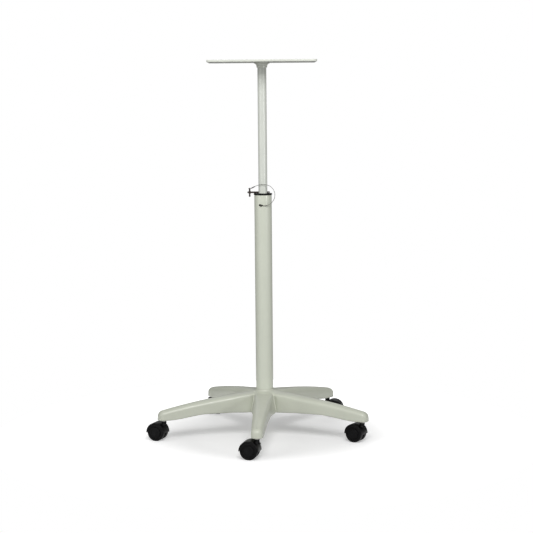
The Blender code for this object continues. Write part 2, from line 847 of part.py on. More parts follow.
def smooth_route(points, spacing):
    """Evenly spaced points on a smooth curve through a route's points."""
    knots = [Vector(p) for p in points]
    knots = [knots[0] * 2 - knots[1]] + knots + [knots[-1] * 2 - knots[-2]]
    dense = []
    for p0, p1, p2, p3 in zip(knots, knots[1:], knots[2:], knots[3:]):
        for i in range(12):
            t = i / 12
            dense.append(
                0.5
                * (
                    2 * p1
                    + (p2 - p0) * t
                    + (2 * p0 - 5 * p1 + 4 * p2 - p3) * t * t
                    + (3 * p1 - p0 - 3 * p2 + p3) * t**3
                )
            )
    dense.append(knots[-2])
    total = sum((b - a).length for a, b in zip(dense, dense[1:]))
    count = round(total / spacing)
    placed = [dense[0]]
    walked = 0.0
    for a, b in zip(dense, dense[1:]):
        step = (b - a).length
        while len(placed) < count and walked + step >= total * len(placed) / count - 1e-9:
            placed.append(a.lerp(b, (total * len(placed) / count - walked) / step))
        walked += step
    placed.append(dense[-1])
    return placed


def tube_curve(name, points, radius, finish):
    curve = bpy.data.curves.new(name, "CURVE")
    curve.dimensions = "3D"
    curve.bevel_depth = radius
    curve.bevel_resolution = 2
    curve.resolution_u = 1
    curve.render_resolution_u = 0
    curve.use_fill_caps = True
    spline = curve.splines.new("POLY")
    spline.points.add(len(points) - 1)
    for target, point in zip(spline.points, points):
        target.co = (*point, 1.0)
    curve.materials.append(finish)
    obj = bpy.data.objects.new(name, curve)
    bpy.context.scene.collection.objects.link(obj)
    return obj


def eyelet_mesh(place):
    """A flat ring under the screw's head, with a tail towards the ferrule."""
    tail_start = EYELET_RADIUS / 2
    middle = ((tail_start + EYELET_TAIL_END) / 2, 0, GAP + EYELET_THICKNESS / 2)
    size = (EYELET_TAIL_END - tail_start, EYELET_TAIL_WIDTH, EYELET_THICKNESS, 1)
    bm = bmesh.new()
    bmesh.ops.create_cube(bm, size=1, matrix=place @ Matrix.Translation(middle) @ Matrix.Diagonal(size))
    disc = turned_mesh("disc", rod(EYELET_RADIUS, GAP, GAP + EYELET_THICKNESS), 24, place)
    lug = combine(disc, mesh_from(bm, "tail"), "UNION")
    hole = turned_mesh("hole", rod(LANYARD_SCREW_RADIUS + GAP, -GAP, 0.002), 12, place)
    return combine(lug, hole, "DIFFERENCE")


def build_lanyard():
    tube_curve("lanyard_wire", smooth_route(LANYARD_ROUTE, 5 * WIRE_RADIUS), WIRE_RADIUS, steel())
    ferrule("lanyard_ferrule_lower", LOWER_FERRULE)
    pull = bpy.data.objects["lock_pin_slide"]
    origin = Vector((0, 0, PIN_Z))
    ferrule("lanyard_ferrule_upper", UPPER_FERRULE, pull, origin)

    near, far = (Vector(p) for p in UPPER_FERRULE)
    tilt = math.atan2(near.z - far.z, near.x - far.x)
    section = []
    for i in range(6):
        a = math.pi / 3 * i
        section.append((LOOP_RADIUS + LOOP_WIRE * math.cos(a), LOOP_WIRE * math.sin(a)))
    centre = Vector((TEE_X, 0, far.z - LOOP_WIRE)) - origin
    place = Matrix.Translation(centre) @ Matrix.Rotation(-tilt / 2, 4, "Y")
    add("lanyard_loop", turned_mesh("lanyard_loop", section, 16, place), steel(), parent=pull)

    place = lanyard_screw_place()
    add("lanyard_eyelet", eyelet_mesh(place), dark_steel())
    under = GAP + EYELET_THICKNESS + GAP
    screw = turned_mesh(
        "lanyard_screw",
        [
            (0, -LANYARD_SCREW_DEPTH),
            (LANYARD_SCREW_RADIUS, -LANYARD_SCREW_DEPTH),
            (LANYARD_SCREW_RADIUS, under),
            (LANYARD_HEAD_RADIUS, under),
            (LANYARD_HEAD_RADIUS, under + LANYARD_HEAD * 0.4),
            (LANYARD_HEAD_RADIUS * 0.8, under + LANYARD_HEAD * 0.85),
            (LANYARD_HEAD_RADIUS * 0.4, under + LANYARD_HEAD),
            (0, under + LANYARD_HEAD),
        ],
        20,
        place,
    )
    add("lanyard_screw", screw, dark_steel())


# --- casters ----------------------------------------------------------------


def wheel_mesh():
    half = WHEEL_WIDTH / 2
    edge = WHEEL_TREAD_EDGE
    bore = AXLE_RADIUS + GAP
    profile = [
        (bore, -half),
        (WHEEL_RADIUS - edge, -half),
        (WHEEL_RADIUS, -half + edge),
        (WHEEL_RADIUS, half - edge),
        (WHEEL_RADIUS - edge, half),
        (bore, half),
    ]
    return turned_mesh("wheel", profile, 24, along_y())


def hood_mesh():
    """A half-round fender over both wheels, its middle web and stem boss."""
    axle = Vector((CASTER_TRAIL, 0, WHEEL_RADIUS))
    bm = bmesh.new()
    steps = 12
    side = HOOD_HALF_WIDTH
    sections = [(-side, HOOD_EDGE), (HOOD_EDGE - side, 0), (side - HOOD_EDGE, 0), (side, HOOD_EDGE)]
    rings = []
    for y, cut in sections:
        ring = []
        for i in range(steps + 1):
            a = math.pi * i / steps
            out = Vector((math.cos(a), 0, math.sin(a))) * (HOOD_OUTER - cut)
            ring.append(bm.verts.new(axle + out + Vector((0, y, 0))))
        rings.append(ring)
    for first, second in zip(rings, rings[1:]):
        quads(bm, first, second)
    bm.faces.new(rings[0])
    bm.faces.new(rings[-1])
    hood = mesh_from(bm, "hood")
    boss = [
        (0, HOOD_BOSS_FOOT),
        (HOOD_BOSS, HOOD_BOSS_FOOT),
        (HOOD_BOSS, HOOD_TOP - 0.0012),
        (HOOD_BOSS - 0.0012, HOOD_TOP),
        (0, HOOD_TOP),
    ]
    hood = combine(hood, turned_mesh("boss", boss, 14), "UNION")
    for turn in (-math.pi / 2, math.pi / 2):
        place = Matrix.Translation(axle) @ Matrix.Rotation(turn, 4, "X")
        arch = turned_mesh("arch", rod(HOOD_INNER, HOOD_WEB, 2 * WHEEL_RADIUS), 24, place)
        hood = combine(hood, arch, "DIFFERENCE")
    across = along_y(*axle)
    thickness = HOOD_WEB - 0.0002
    lug = turned_mesh("lug", rod(AXLE_LUG_RADIUS, -thickness, thickness), 12, across)
    hood = combine(hood, lug, "UNION")
    bore = turned_mesh("axle_bore", rod(AXLE_RADIUS + GAP, -0.01, 0.01), 10, across)
    hood = combine(hood, bore, "DIFFERENCE")
    stem_bore = rod(STEM_NECK_RADIUS + GAP, STEM_FOOT - 0.0005, HOOD_TOP + 0.01)
    return combine(hood, turned_mesh("stem_bore", stem_bore, 10), "DIFFERENCE")


def stem_mesh():
    seat = HOOD_TOP + GAP
    profile = [
        (0, STEM_FOOT),
        (STEM_NECK_RADIUS, STEM_FOOT),
        (STEM_NECK_RADIUS, seat),
        (STEM_COLLAR_RADIUS, seat),
        (STEM_COLLAR_RADIUS, seat + STEM_COLLAR),
        (STEM_RADIUS, seat + STEM_COLLAR),
        (STEM_RADIUS, STEM_TOP - 0.0020),
        (STEM_RADIUS - 0.0020, STEM_TOP),
        (0, STEM_TOP),
    ]
    return turned_mesh("stem", profile, 12)


def sleeve_mesh():
    bore = STEM_RADIUS + GAP
    top = ARM_TIP_UNDERSIDE - GAP
    profile = [
        (bore, top - SLEEVE_FLANGE),
        (SLEEVE_FLANGE_RADIUS, top - SLEEVE_FLANGE),
        (SLEEVE_FLANGE_RADIUS, top),
        (SLEEVE_RADIUS, top),
        (SLEEVE_RADIUS, SLEEVE_TOP),
        (bore, SLEEVE_TOP),
    ]
    return turned_mesh("sleeve", profile, 14)


def build_casters():
    wheel = wheel_mesh()
    hood = hood_mesh()
    stem = stem_mesh()
    sleeve = sleeve_mesh()
    axle_half = WHEEL_INSIDE + WHEEL_WIDTH - 0.0014
    axle = turned_mesh("axle", rod(AXLE_RADIUS, -axle_half, axle_half, 0.0005), 12, along_y())
    across = WHEEL_INSIDE + WHEEL_WIDTH / 2
    for k in range(ARMS):
        name = f"caster_{k + 1}"
        place = caster_place(k)
        add(f"{name}_sleeve", sleeve, black_plastic(), location=place)
        swivel = empty(f"{name}_swivel", place, math.radians(CASTER_TURN[k]))
        add(f"{name}_stem", stem, steel(), parent=swivel)
        add(f"{name}_hood", hood, black_plastic(), parent=swivel)
        axle_place = (CASTER_TRAIL, 0, WHEEL_RADIUS)
        add(f"{name}_axle", axle, steel(), location=axle_place, parent=swivel)
        for side, label in ((1, "left"), (-1, "right")):
            place = (CASTER_TRAIL, side * across, WHEEL_RADIUS)
            add(f"{name}_{label}_wheel", wheel, wheel_rubber(), location=place, parent=swivel)


def centre_footprint():
    """Hangs every piece under one empty, which stands on the column's axis."""
    stand = empty("stand", (COLUMN_X, COLUMN_Y, 0))
    for obj in list(bpy.context.scene.collection.objects):
        if obj.parent is None and obj is not stand:
            obj.parent = stand


build_base()
build_column()
build_collar()
build_mast()
build_lock_pin()
build_lanyard()
build_casters()
centre_footprint()
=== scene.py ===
"""The looks of a height-adjustable equipment stand on a five-arm caster base.

Metres, +Z up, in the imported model's frame. Places come from the frame: the
column's axis from its tube, each caster's from its joints, and heights from
the boxes of the nodes. The constants below are the sizes of visible details.
"""

import json
import math

import bmesh
import bpy
from mathutils import Matrix, Vector

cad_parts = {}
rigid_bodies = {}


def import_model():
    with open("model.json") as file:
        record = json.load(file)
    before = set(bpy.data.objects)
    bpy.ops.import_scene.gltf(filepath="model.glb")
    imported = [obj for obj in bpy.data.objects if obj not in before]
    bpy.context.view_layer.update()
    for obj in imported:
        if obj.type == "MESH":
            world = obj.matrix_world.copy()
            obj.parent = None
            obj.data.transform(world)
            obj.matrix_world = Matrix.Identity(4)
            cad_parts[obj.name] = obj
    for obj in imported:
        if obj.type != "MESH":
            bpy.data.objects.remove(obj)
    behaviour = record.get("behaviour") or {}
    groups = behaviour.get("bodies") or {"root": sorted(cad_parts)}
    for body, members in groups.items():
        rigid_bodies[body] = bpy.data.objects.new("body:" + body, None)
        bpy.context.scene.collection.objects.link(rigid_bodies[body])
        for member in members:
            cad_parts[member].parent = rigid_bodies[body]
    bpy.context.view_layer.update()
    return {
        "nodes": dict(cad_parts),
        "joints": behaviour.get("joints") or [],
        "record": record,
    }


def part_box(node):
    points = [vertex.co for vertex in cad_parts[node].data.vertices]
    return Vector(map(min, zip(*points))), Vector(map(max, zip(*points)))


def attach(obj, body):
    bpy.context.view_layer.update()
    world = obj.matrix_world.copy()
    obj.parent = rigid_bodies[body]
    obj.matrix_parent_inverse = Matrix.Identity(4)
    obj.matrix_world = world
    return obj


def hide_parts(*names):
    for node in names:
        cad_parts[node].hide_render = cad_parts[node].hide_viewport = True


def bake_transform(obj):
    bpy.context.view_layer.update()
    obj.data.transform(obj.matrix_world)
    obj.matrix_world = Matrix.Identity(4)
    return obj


for old in list(bpy.data.objects):
    bpy.data.objects.remove(old, do_unlink=True)
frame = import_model()

# Camera, from the column's axis
CAMERA_SIDE = 0.00835
CAMERA_DISTANCE = 4.159
CAMERA_HEIGHT = 0.9947
CAMERA_DOWN = math.radians(6.849)
CAMERA_ROLL = math.radians(-0.503)
CAMERA_LENS = 97.6
CAMERA_SENSOR = 36.0

GAP = 0.0003
ARMS = 5

# Star base
ARM_TIP_OVERHANG = 0.0185
ARM_TIP_HALF_WIDTH = 0.0172
ARM_ROOT_HALF_WIDTH = 0.0270
ARM_TIP_CORNER = 0.015
ARM_POINTS_START = 0.0578  # the radius at which an arm has its root width
ARM_TIP_TRIM = 0.0002  # keeps the smooth tips inside the CAD's box
ARM_FILLET = (0.003, 0.002)  # between two arms, at the top and at the foot
ARM_ROOT_SPREAD = 0.0080  # how far an arm's foot flares beside the hub
ARM_SPREAD_START = 0.05
ARM_SPREAD_END = 0.110
ARM_SHOULDER = 0.0132  # the top edges' radius along an arm
HUB_SHOULDER = 0.0070  # the same edges where the arms leave the hub
SHOULDER_START = 0.055
SHOULDER_LENGTH = 0.075
ARM_DRAFT = 0.0008
ARM_LIP = 0.0022
ARM_TOP_START = 0.1305
ARM_TOP_SLOPE = 0.045
ARM_TOP_CURVE = 0.297
ARM_CROWN = 0.0009
ARM_UNDERSIDE = 0.0745
ARM_DROP_START = 0.170
ARM_DROP_LENGTH = 0.120
ARM_WALL = 0.0045
ARM_ROOF = 0.006
POCKET_START = 0.062
POCKET_END = 0.272
POCKET_CORNER = 0.004
HUB_BOLT_BORE = 0.0066
HUB_RIM_GAP = 0.0004
HUB_COVE = 0.0100
HUB_RISE = 0.0085
STEM_BORE_WALL = 0.0022
ARM_STEPS = 26
CORNER_STEPS = 9
FILLET_STEPS = 10
ROOT_STEPS = 9

# Column, mast and plate
COLUMN_WALL = 0.002
MAST_WALL = 0.0015
SOCKET_WALL = 0.0025
SCREW_HOLE = 0.0021
GRUB_HOLE = 0.0023
PIN_HOLES = 7
PIN_HOLE_STEP = 0.050
PIN_HOLE_RADIUS = 0.0029
PLATE_CORNER = 0.010
PLATE_EDGE = 0.0011
PLATE_SCREW_RADIUS = 0.0015
PLATE_SCREW_HOLE = 0.0018

# Lock pin
SPINDLE_BORE = 0.0013
TEE_BAR_RADIUS = 0.0024
TEE_BAR_END = 0.0012
TEE_BAR_WAIST = 0.0003
TEE_HUB_HALF = 0.0034
LOOP_WIRE_RADIUS = 0.00062

# Casters
WHEEL_WIDTH = 0.0146
WHEEL_INSIDE = 0.0036
AXLE_RADIUS = 0.003
HOOD_OUTER = 0.0283
HOOD_INNER = 0.0265
HOOD_HALF_WIDTH = 0.0185
HOOD_EDGE = 0.0009
HOOD_WALL = 0.0015
HOOD_WEB = 0.0030
HOOD_BOSS = 0.0071
BOSS_FLARE = 0.0035
BOSS_FOOT = 0.044
STEM_NECK = 0.0033

# Lanyard: the route, in metres from the column's axis
WIRE_DIAMETER = 0.0015
WIRE_STRANDS = 6
WIRE_LAY = 0.0085
LANYARD_ROUTE = [
    (0.0111, -0.0264, 0.6740),
    (0.0150, -0.0262, 0.6757),
    (0.0205, -0.0262, 0.6789),
    (0.0262, -0.0270, 0.6841),
    (0.0305, -0.0280, 0.6902),
    (0.0332, -0.0287, 0.6972),
    (0.0341, -0.0290, 0.7045),
    (0.0330, -0.0282, 0.7130),
    (0.0278, -0.0255, 0.7230),
    (0.0205, -0.0226, 0.7294),
    (0.0118, -0.0199, 0.7327),
    (0.0032, -0.0176, 0.7338),
    (-0.0054, -0.0153, 0.7336),
    (-0.0135, -0.0124, 0.7319),
    (-0.0190, -0.0098, 0.7299),
    (-0.0236, -0.0075, 0.7278),
]
LOWER_FERRULE = [(0.0108, -0.02645, 0.6739), (0.0016, -0.0269, 0.6740)]
UPPER_FERRULE = [(-0.0239, -0.0073, 0.7276), (-0.0335, -0.0025, 0.7226)]
FERRULE_RADIUS = 0.00155
LUG_THICKNESS = 0.0010
LUG_TILT = math.radians(-17)

# Floor
FLOOR_RADIUS = 0.80
FLOOR_SHADE = 0.85
FLOOR_GLOW = 0.24
FLOOR_GLOW_RADII = (0.22, 0.58)
WORLD_STRENGTH = 0.24

ROUND = 96  # sides of a large round piece
SMALL_ROUND = 32


# --- helpers ---


def centre(node):
    low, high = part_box(node)
    return (low + high) / 2


def half_size(node):
    low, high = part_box(node)
    return (high - low) / 2


def top(node):
    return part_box(node)[1].z


def bottom(node):
    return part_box(node)[0].z


AXIS = Vector((centre("column_tube").x, centre("column_tube").y, 0))
JOINTS = {joint["name"]: joint for joint in frame["joints"]}


def arc(x, z, radius, start, end, steps):
    """Points on an arc in an outline; the angles are in degrees."""
    points = []
    for i in range(steps + 1):
        a = math.radians(start + (end - start) * i / steps)
        points.append((x + radius * math.cos(a), z + radius * math.sin(a)))
    return points


def quarter(steps):
    """Angles from 0 to a quarter turn."""
    return [math.pi / 2 * i / steps for i in range(steps + 1)]


def quads(bm, first, second):
    for i in range(len(first)):
        j = (i + 1) % len(first)
        bm.faces.new((first[i], first[j], second[j], second[i]))


def loft(bm, rings):
    """Joins rings of vertices into a closed body."""
    for first, second in zip(rings, rings[1:]):
        quads(bm, first, second)
    bm.faces.new(rings[0])
    bm.faces.new(rings[-1])


def turned(bm, profile, segments=ROUND, place=Matrix.Identity(4)):
    """A solid of revolution about Z from a closed (radius, height) outline."""
    rings = []
    for radius, height in profile:
        if radius < 1e-7:
            rings.append([bm.verts.new(place @ Vector((0, 0, height)))])
            continue
        ring = []
        for i in range(segments):
            a = 2 * math.pi * i / segments
            point = Vector((radius * math.cos(a), radius * math.sin(a), height))
            ring.append(bm.verts.new(place @ point))
        rings.append(ring)
    for lower, upper in zip(rings, rings[1:] + rings[:1]):
        if len(lower) == 1 and len(upper) == 1:
            continue
        for i in range(segments):
            j = (i + 1) % segments
            corners = (lower[i % len(lower)], lower[j % len(lower)])
            corners += (upper[j % len(upper)], upper[i % len(upper)])
            bm.faces.new(list(dict.fromkeys(corners)))


def mesh_from(bm, name, sharp_degrees=32):
    bmesh.ops.remove_doubles(bm, verts=bm.verts, dist=1e-6)
    bmesh.ops.recalc_face_normals(bm, faces=bm.faces)
    mesh = bpy.data.meshes.new(name)
    bm.to_mesh(mesh)
    bm.free()
    mesh.shade_smooth()
    mesh.set_sharp_from_angle(angle=math.radians(sharp_degrees))
    return mesh


def turned_mesh(name, profile, segments=ROUND, place=Matrix.Identity(4)):
    bm = bmesh.new()
    turned(bm, profile, segments, place)
    return mesh_from(bm, name)


def placed(name, data):
    """A new object in the scene."""
    obj = bpy.data.objects.new(name, data)
    bpy.context.scene.collection.objects.link(obj)
    return obj


def combine(mesh, other, operation, sharp_degrees=32):
    """Joins another mesh to a mesh, or cuts it away, and returns the result."""
    body = placed("body", mesh)
    tool = placed("tool", other)
    boolean = body.modifiers.new("boolean", "BOOLEAN")
    boolean.operation = operation
    boolean.solver = "EXACT"
    boolean.object = tool
    graph = bpy.context.evaluated_depsgraph_get()
    result = bpy.data.meshes.new_from_object(body.evaluated_get(graph))
    result.name = mesh.name
    bpy.data.objects.remove(body)
    bpy.data.objects.remove(tool)
    result.shade_smooth()
    result.set_sharp_from_angle(angle=math.radians(sharp_degrees))
    return result


def cylinder(radius, low, high):
    """The outline of a plain cylinder along Z, for a cutter."""
    return [(0, low), (radius, low), (radius, high), (0, high)]


def drilled(mesh, radius, low, high, place, segments=SMALL_ROUND):
    """A mesh with a round hole along the place's Z."""
    drill = turned_mesh("drill", cylinder(radius, low, high), segments, place)
    return combine(mesh, drill, "DIFFERENCE")


def piece(name, mesh, finish, body, slot, *replaced):
    """A visible piece that stands for CAD nodes; it rides on a body if one is given."""
    obj = placed(name, mesh)
    mesh.materials.clear()
    mesh.materials.append(finish)
    if body:
        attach(obj, body)
    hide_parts(*replaced)
    return obj


def soften(obj, width, segments=2, angle=38):
    """Rounds a piece's hard edges."""
    bevel = obj.modifiers.new("edges", "BEVEL")
    bevel.width = width
    bevel.segments = segments
    bevel.limit_method = "ANGLE"
    bevel.angle_limit = math.radians(angle)
    bevel.harden_normals = True
    return obj


def along_x(x=0.0, y=0.0, z=0.0):
    """Turns a piece made along +Z so that it lies along +X."""
    return Matrix.Translation((x, y, z)) @ Matrix.Rotation(math.pi / 2, 4, "Y")


def along_y(x=0.0, y=0.0, z=0.0):
    """Turns a piece made along +Z so that it lies along -Y."""
    return Matrix.Translation((x, y, z)) @ Matrix.Rotation(math.pi / 2, 4, "X")


def rounded_rod(radius, low, high, edge, steps=4):
    """The outline of a solid rod along Z with rounded rims."""
    points = [(0, low)]
    points += arc(radius - edge, low + edge, edge, -90, 0, steps)
    points += arc(radius - edge, high - edge, edge, 0, 90, steps)
    points.append((0, high))
    return points


# --- materials ---


class Finish:
    """A Principled material whose surface detail comes from object space."""

    def __init__(self, name, roughness, metallic=0.0, coat=0.0, specular=0.5):
        self.material = bpy.data.materials.new(name)
        self.material.use_nodes = True
        self.tree = self.material.node_tree
        self.shader = self.tree.nodes["Principled BSDF"]
        values = {"Roughness": roughness, "Metallic": metallic, "Coat Weight": coat}
        values.update({"Coat Roughness": 0.18, "Specular IOR Level": specular})
        for socket, value in values.items():
            self.shader.inputs[socket].default_value = value
        self.place = self.node("TexCoord").outputs["Object"]

    def link(self, output, socket):
        self.tree.links.new(output, socket)

    def node(self, kind, **values):
        """A new node with plain values on its sockets, named with _ for spaces."""
        node = self.tree.nodes.new(f"ShaderNode{kind}")
        for name, value in values.items():
            node.inputs[name.replace("_", " ")].default_value = value
        return node

    def noise(self, scale, detail=3.0, stretch=None, roughness=0.55):
        source = self.place
        if stretch:
            mapping = self.node("Mapping", Scale=stretch)
            self.link(source, mapping.inputs["Vector"])
            source = mapping.outputs["Vector"]
        node = self.node("TexNoise", Scale=scale, Detail=detail, Roughness=roughness)
        self.link(source, node.inputs["Vector"])
        return node.outputs["Fac"]

    def cells(self, scale):
        node = self.node("TexVoronoi", Scale=scale)
        self.link(self.place, node.inputs["Vector"])
        return node.outputs["Distance"]

    def ramp(self, value, low, high, start=0.0, end=1.0, kind="LINEAR"):
        """Maps a value from the start to end range onto another one, clamped."""
        node = self.node("MapRange", From_Min=start, From_Max=end, To_Min=low, To_Max=high)
        node.interpolation_type = kind
        self.link(value, node.inputs["Value"])
        return node.outputs["Result"]

    def mix(self, factor, first, second):
        """Blends two colours; each is a colour or an earlier blend's output."""
        node = self.node("Mix")
        node.data_type = "RGBA"
        self.link(factor, node.inputs["Factor"])
        for socket, value in ((node.inputs[6], first), (node.inputs[7], second)):
            if isinstance(value, tuple):
                socket.default_value = (*value, 1.0)
            else:
                self.link(value, socket)
        return node.outputs[2]

    def bump(self, height, distance, base=None):
        node = self.node("Bump", Distance=distance, Strength=1.0)
        self.link(height, node.inputs["Height"])
        if base is not None:
            self.link(base, node.inputs["Normal"])
        return node.outputs["Normal"]

    def close(self, color, roughness, normal):
        self.link(color, self.shader.inputs["Base Color"])
        self.link(roughness, self.shader.inputs["Roughness"])
        self.link(normal, self.shader.inputs["Normal"])
        return self.material

    def height_above(self, low, high):
        """0 at the first height and 1 at the second, in the row frame."""
        split = self.node("SeparateXYZ")
        self.link(self.place, split.inputs["Vector"])
        return self.ramp(split.outputs["Z"], 0.0, 1.0, low, high)


def shade(color, factor):
    return tuple(min(1.0, channel * factor) for channel in color)


def powder_coat(name, color, roughness, peel, grime):
    """Satin powder coat: orange peel, fine grain, slight mottling and dust."""
    f = Finish(name, roughness, coat=0.25)
    mottle = f.ramp(f.noise(9.0, 4.0), 0.0, 1.0, 0.35, 0.65)
    base = f.mix(mottle, shade(color, 0.965), shade(color, 1.025))
    specks = f.ramp(f.cells(420.0), 0.55, 0.0, 0.0, 0.09)
    base = f.mix(specks, base, shade(color, 0.86))
    if grime:
        dust = f.ramp(f.noise(26.0, 5.0), 0.0, 0.30, 0.52, 0.74)
        base = f.mix(dust, base, shade(color, 0.90))
    rough = f.ramp(f.noise(60.0, 3.0), roughness - 0.05, roughness + 0.07, 0.3, 0.7)
    coarse = f.bump(f.noise(290.0, 2.0), peel)
    fine = f.bump(f.noise(1500.0, 2.0), peel * 0.16, base=coarse)
    return f.close(base, rough, fine)


def satin_metal(name, color, roughness):
    """Smooth coated tube with hairline marks drawn along Z by its bushes."""
    f = Finish(name, roughness, metallic=0.0, coat=0.25)
    tone = f.ramp(f.noise(14.0, 3.0), 0.0, 1.0, 0.35, 0.65)
    base = f.mix(tone, shade(color, 0.975), shade(color, 1.02))
    hairs = f.noise(70.0, 4.0, stretch=(14.0, 14.0, 0.35), roughness=0.7)
    rubbed = f.ramp(hairs, 0.0, 0.30, 0.60, 0.78)
    base = f.mix(rubbed, base, shade(color, 0.87))
    rough = f.ramp(hairs, roughness - 0.06, roughness + 0.10, 0.35, 0.7)
    normal = f.bump(hairs, 0.00002)
    normal = f.bump(f.noise(420.0, 2.0), 0.00004, base=normal)
    return f.close(base, rough, normal)


def moulded_plastic(name, color, roughness, texture):
    """Spark-textured moulded plastic with faint scuffs."""
    f = Finish(name, roughness, specular=0.16)
    tone = f.ramp(f.noise(45.0, 4.0), 0.0, 1.0, 0.3, 0.7)
    base = f.mix(tone, shade(color, 0.8), shade(color, 1.35))
    scuffs = f.noise(160.0, 5.0, stretch=(1.0, 0.25, 1.0), roughness=0.7)
    worn = f.ramp(scuffs, 0.0, 0.35, 0.62, 0.82)
    base = f.mix(worn, base, shade(color, 3.5))
    rough = f.ramp(f.noise(300.0, 3.0), roughness - 0.08, roughness + 0.10, 0.3, 0.7)
    normal = f.bump(f.cells(1100.0), texture)
    normal = f.bump(f.noise(90.0, 2.0), texture * 1.5, base=normal)
    return f.close(base, rough, normal)


def tread_plastic(name, color):
    """A wheel's hard nylon: dull, with floor dust caught in fine scratches."""
    f = Finish(name, 0.48, specular=0.12)
    tone = f.ramp(f.noise(70.0, 5.0), 0.0, 1.0, 0.35, 0.7)
    base = f.mix(tone, shade(color, 0.8), shade(color, 1.5))
    dust = f.ramp(f.noise(240.0, 6.0, roughness=0.75), 0.0, 0.5, 0.56, 0.75)
    low = f.height_above(0.016, 0.0)
    both = f.node("Math")
    both.operation = "MULTIPLY"
    f.link(dust, both.inputs[0])
    f.link(low, both.inputs[1])
    base = f.mix(both.outputs[0], base, (0.11, 0.105, 0.10))
    rough = f.ramp(f.noise(200.0, 4.0), 0.38, 0.60, 0.3, 0.7)
    normal = f.bump(f.noise(700.0, 3.0), 0.00005)
    return f.close(base, rough, normal)


def plated_steel(name, color, roughness, stretch):
    """Plated steel with fine tool marks along one direction."""
    f = Finish(name, roughness, metallic=1.0)
    tone = f.ramp(f.noise(120.0, 4.0), 0.0, 1.0, 0.3, 0.7)
    base = f.mix(tone, shade(color, 0.82), shade(color, 1.12))
    marks = f.noise(900.0, 3.0, stretch=stretch, roughness=0.6)
    rough = f.ramp(marks, roughness - 0.07, roughness + 0.12, 0.3, 0.7)
    normal = f.bump(marks, 0.000012)
    return f.close(base, rough, normal)


# The base and the column wear one grey-green paint. The base's copy is about 0.88 as bright as the
# column's: painted shade that offsets the floor's bounce light on the base's flanks.
BASE_PAINT_PAINTED_SHADE = powder_coat("base_paint_painted_shade", (0.580, 0.602, 0.508), 0.38, 0.00010, True)
COLUMN_PAINT = powder_coat("column_paint", (0.662, 0.692, 0.590), 0.38, 0.00008, False)
PLATE_PAINT = powder_coat("plate_coat", (0.700, 0.722, 0.650), 0.36, 0.00006, False)
MAST_FINISH = satin_metal("mast_finish", (0.690, 0.715, 0.655), 0.30)
BLACK_PLASTIC = moulded_plastic("black_moulded_plastic", (0.0018, 0.0018, 0.0020), 0.36, 0.00005)
GUIDE_PLASTIC = moulded_plastic("guide_plastic", (0.020, 0.020, 0.021), 0.42, 0.00004)
WHEEL_PLASTIC = tread_plastic("wheel_nylon", (0.0020, 0.0020, 0.0022))
ZINC = plated_steel("zinc_plate", (0.56, 0.55, 0.52), 0.30, (1.0, 1.0, 0.1))
PIN_STEEL = plated_steel("pin_steel", (0.060, 0.049, 0.045), 0.42, (0.1, 1.0, 1.0))
DARK_STEEL = plated_steel("dark_plate", (0.070, 0.068, 0.060), 0.38, (1.0, 1.0, 0.2))
WIRE_STEEL = plated_steel("wire_rope_steel", (0.20, 0.195, 0.185), 0.40, (1.0, 1.0, 1.0))
FERRULE_STEEL = plated_steel("ferrule_steel", (0.30, 0.30, 0.27), 0.42, (1.0, 1.0, 0.5))


# --- camera, lanyard ---


def make_camera():
    data = bpy.data.cameras.new("camera")
    data.lens = CAMERA_LENS
    data.sensor_width = CAMERA_SENSOR
    data.clip_end = 100.0
    camera = placed("camera", data)
    tilt = Matrix.Rotation(math.pi / 2 - CAMERA_DOWN, 4, "X")
    roll = Matrix.Rotation(CAMERA_ROLL, 4, "Z")
    spot = AXIS + Vector((CAMERA_SIDE, -CAMERA_DISTANCE, CAMERA_HEIGHT))
    camera.matrix_world = Matrix.Translation(spot) @ tilt @ roll
    bpy.context.scene.camera = camera


def smooth_route(points, spacing):
    """Evenly spaced points on a smooth curve through a route's points."""
    knots = [Vector(p) for p in points]
    knots = [knots[0] * 2 - knots[1]] + knots + [knots[-1] * 2 - knots[-2]]
    dense = []
    for p0, p1, p2, p3 in zip(knots, knots[1:], knots[2:], knots[3:]):
        for i in range(24):
            t = i / 24
            bend = 2 * p0 - 5 * p1 + 4 * p2 - p3
            twist = 3 * p1 - p0 - 3 * p2 + p3
            dense.append(0.5 * (2 * p1 + (p2 - p0) * t + bend * t * t + twist * t**3))
    dense.append(knots[-2])
    total = sum((b - a).length for a, b in zip(dense, dense[1:]))
    count = round(total / spacing)
    placed = [dense[0]]
    walked = 0.0
    for a, b in zip(dense, dense[1:]):
        step = (b - a).length
        while len(placed) < count and walked + step >= total * len(placed) / count - 1e-9:
            placed.append(a.lerp(b, (total * len(placed) / count - walked) / step))
        walked += step
    placed.append(dense[-1])
    return placed


def rope_mesh(path):
    """A wire rope: a section of round lobes that turns as it follows a path."""
    bm = bmesh.new()
    rings = []
    walked = 0.0
    side = Vector((0, 0, 1))
    sides = WIRE_STRANDS * 4
    for i, point in enumerate(path):
        ahead = path[min(i + 1, len(path) - 1)] - path[max(i - 1, 0)]
        ahead.normalize()
        side = (side - ahead * side.dot(ahead)).normalized()
        other = ahead.cross(side)
        if i:
            walked += (point - path[i - 1]).length
        ring = []
        for k in range(sides):
            a = 2 * math.pi * k / sides
            lobe = abs(math.cos(a * WIRE_STRANDS / 2))
            radius = WIRE_DIAMETER / 2 * (0.86 + 0.14 * lobe)
            turn = a + 2 * math.pi * walked / WIRE_LAY
            out = side * math.cos(turn) + other * math.sin(turn)
            ring.append(bm.verts.new(point + out * radius))
        rings.append(ring)
    loft(bm, rings)
    return mesh_from(bm, "lanyard_rope", 60)


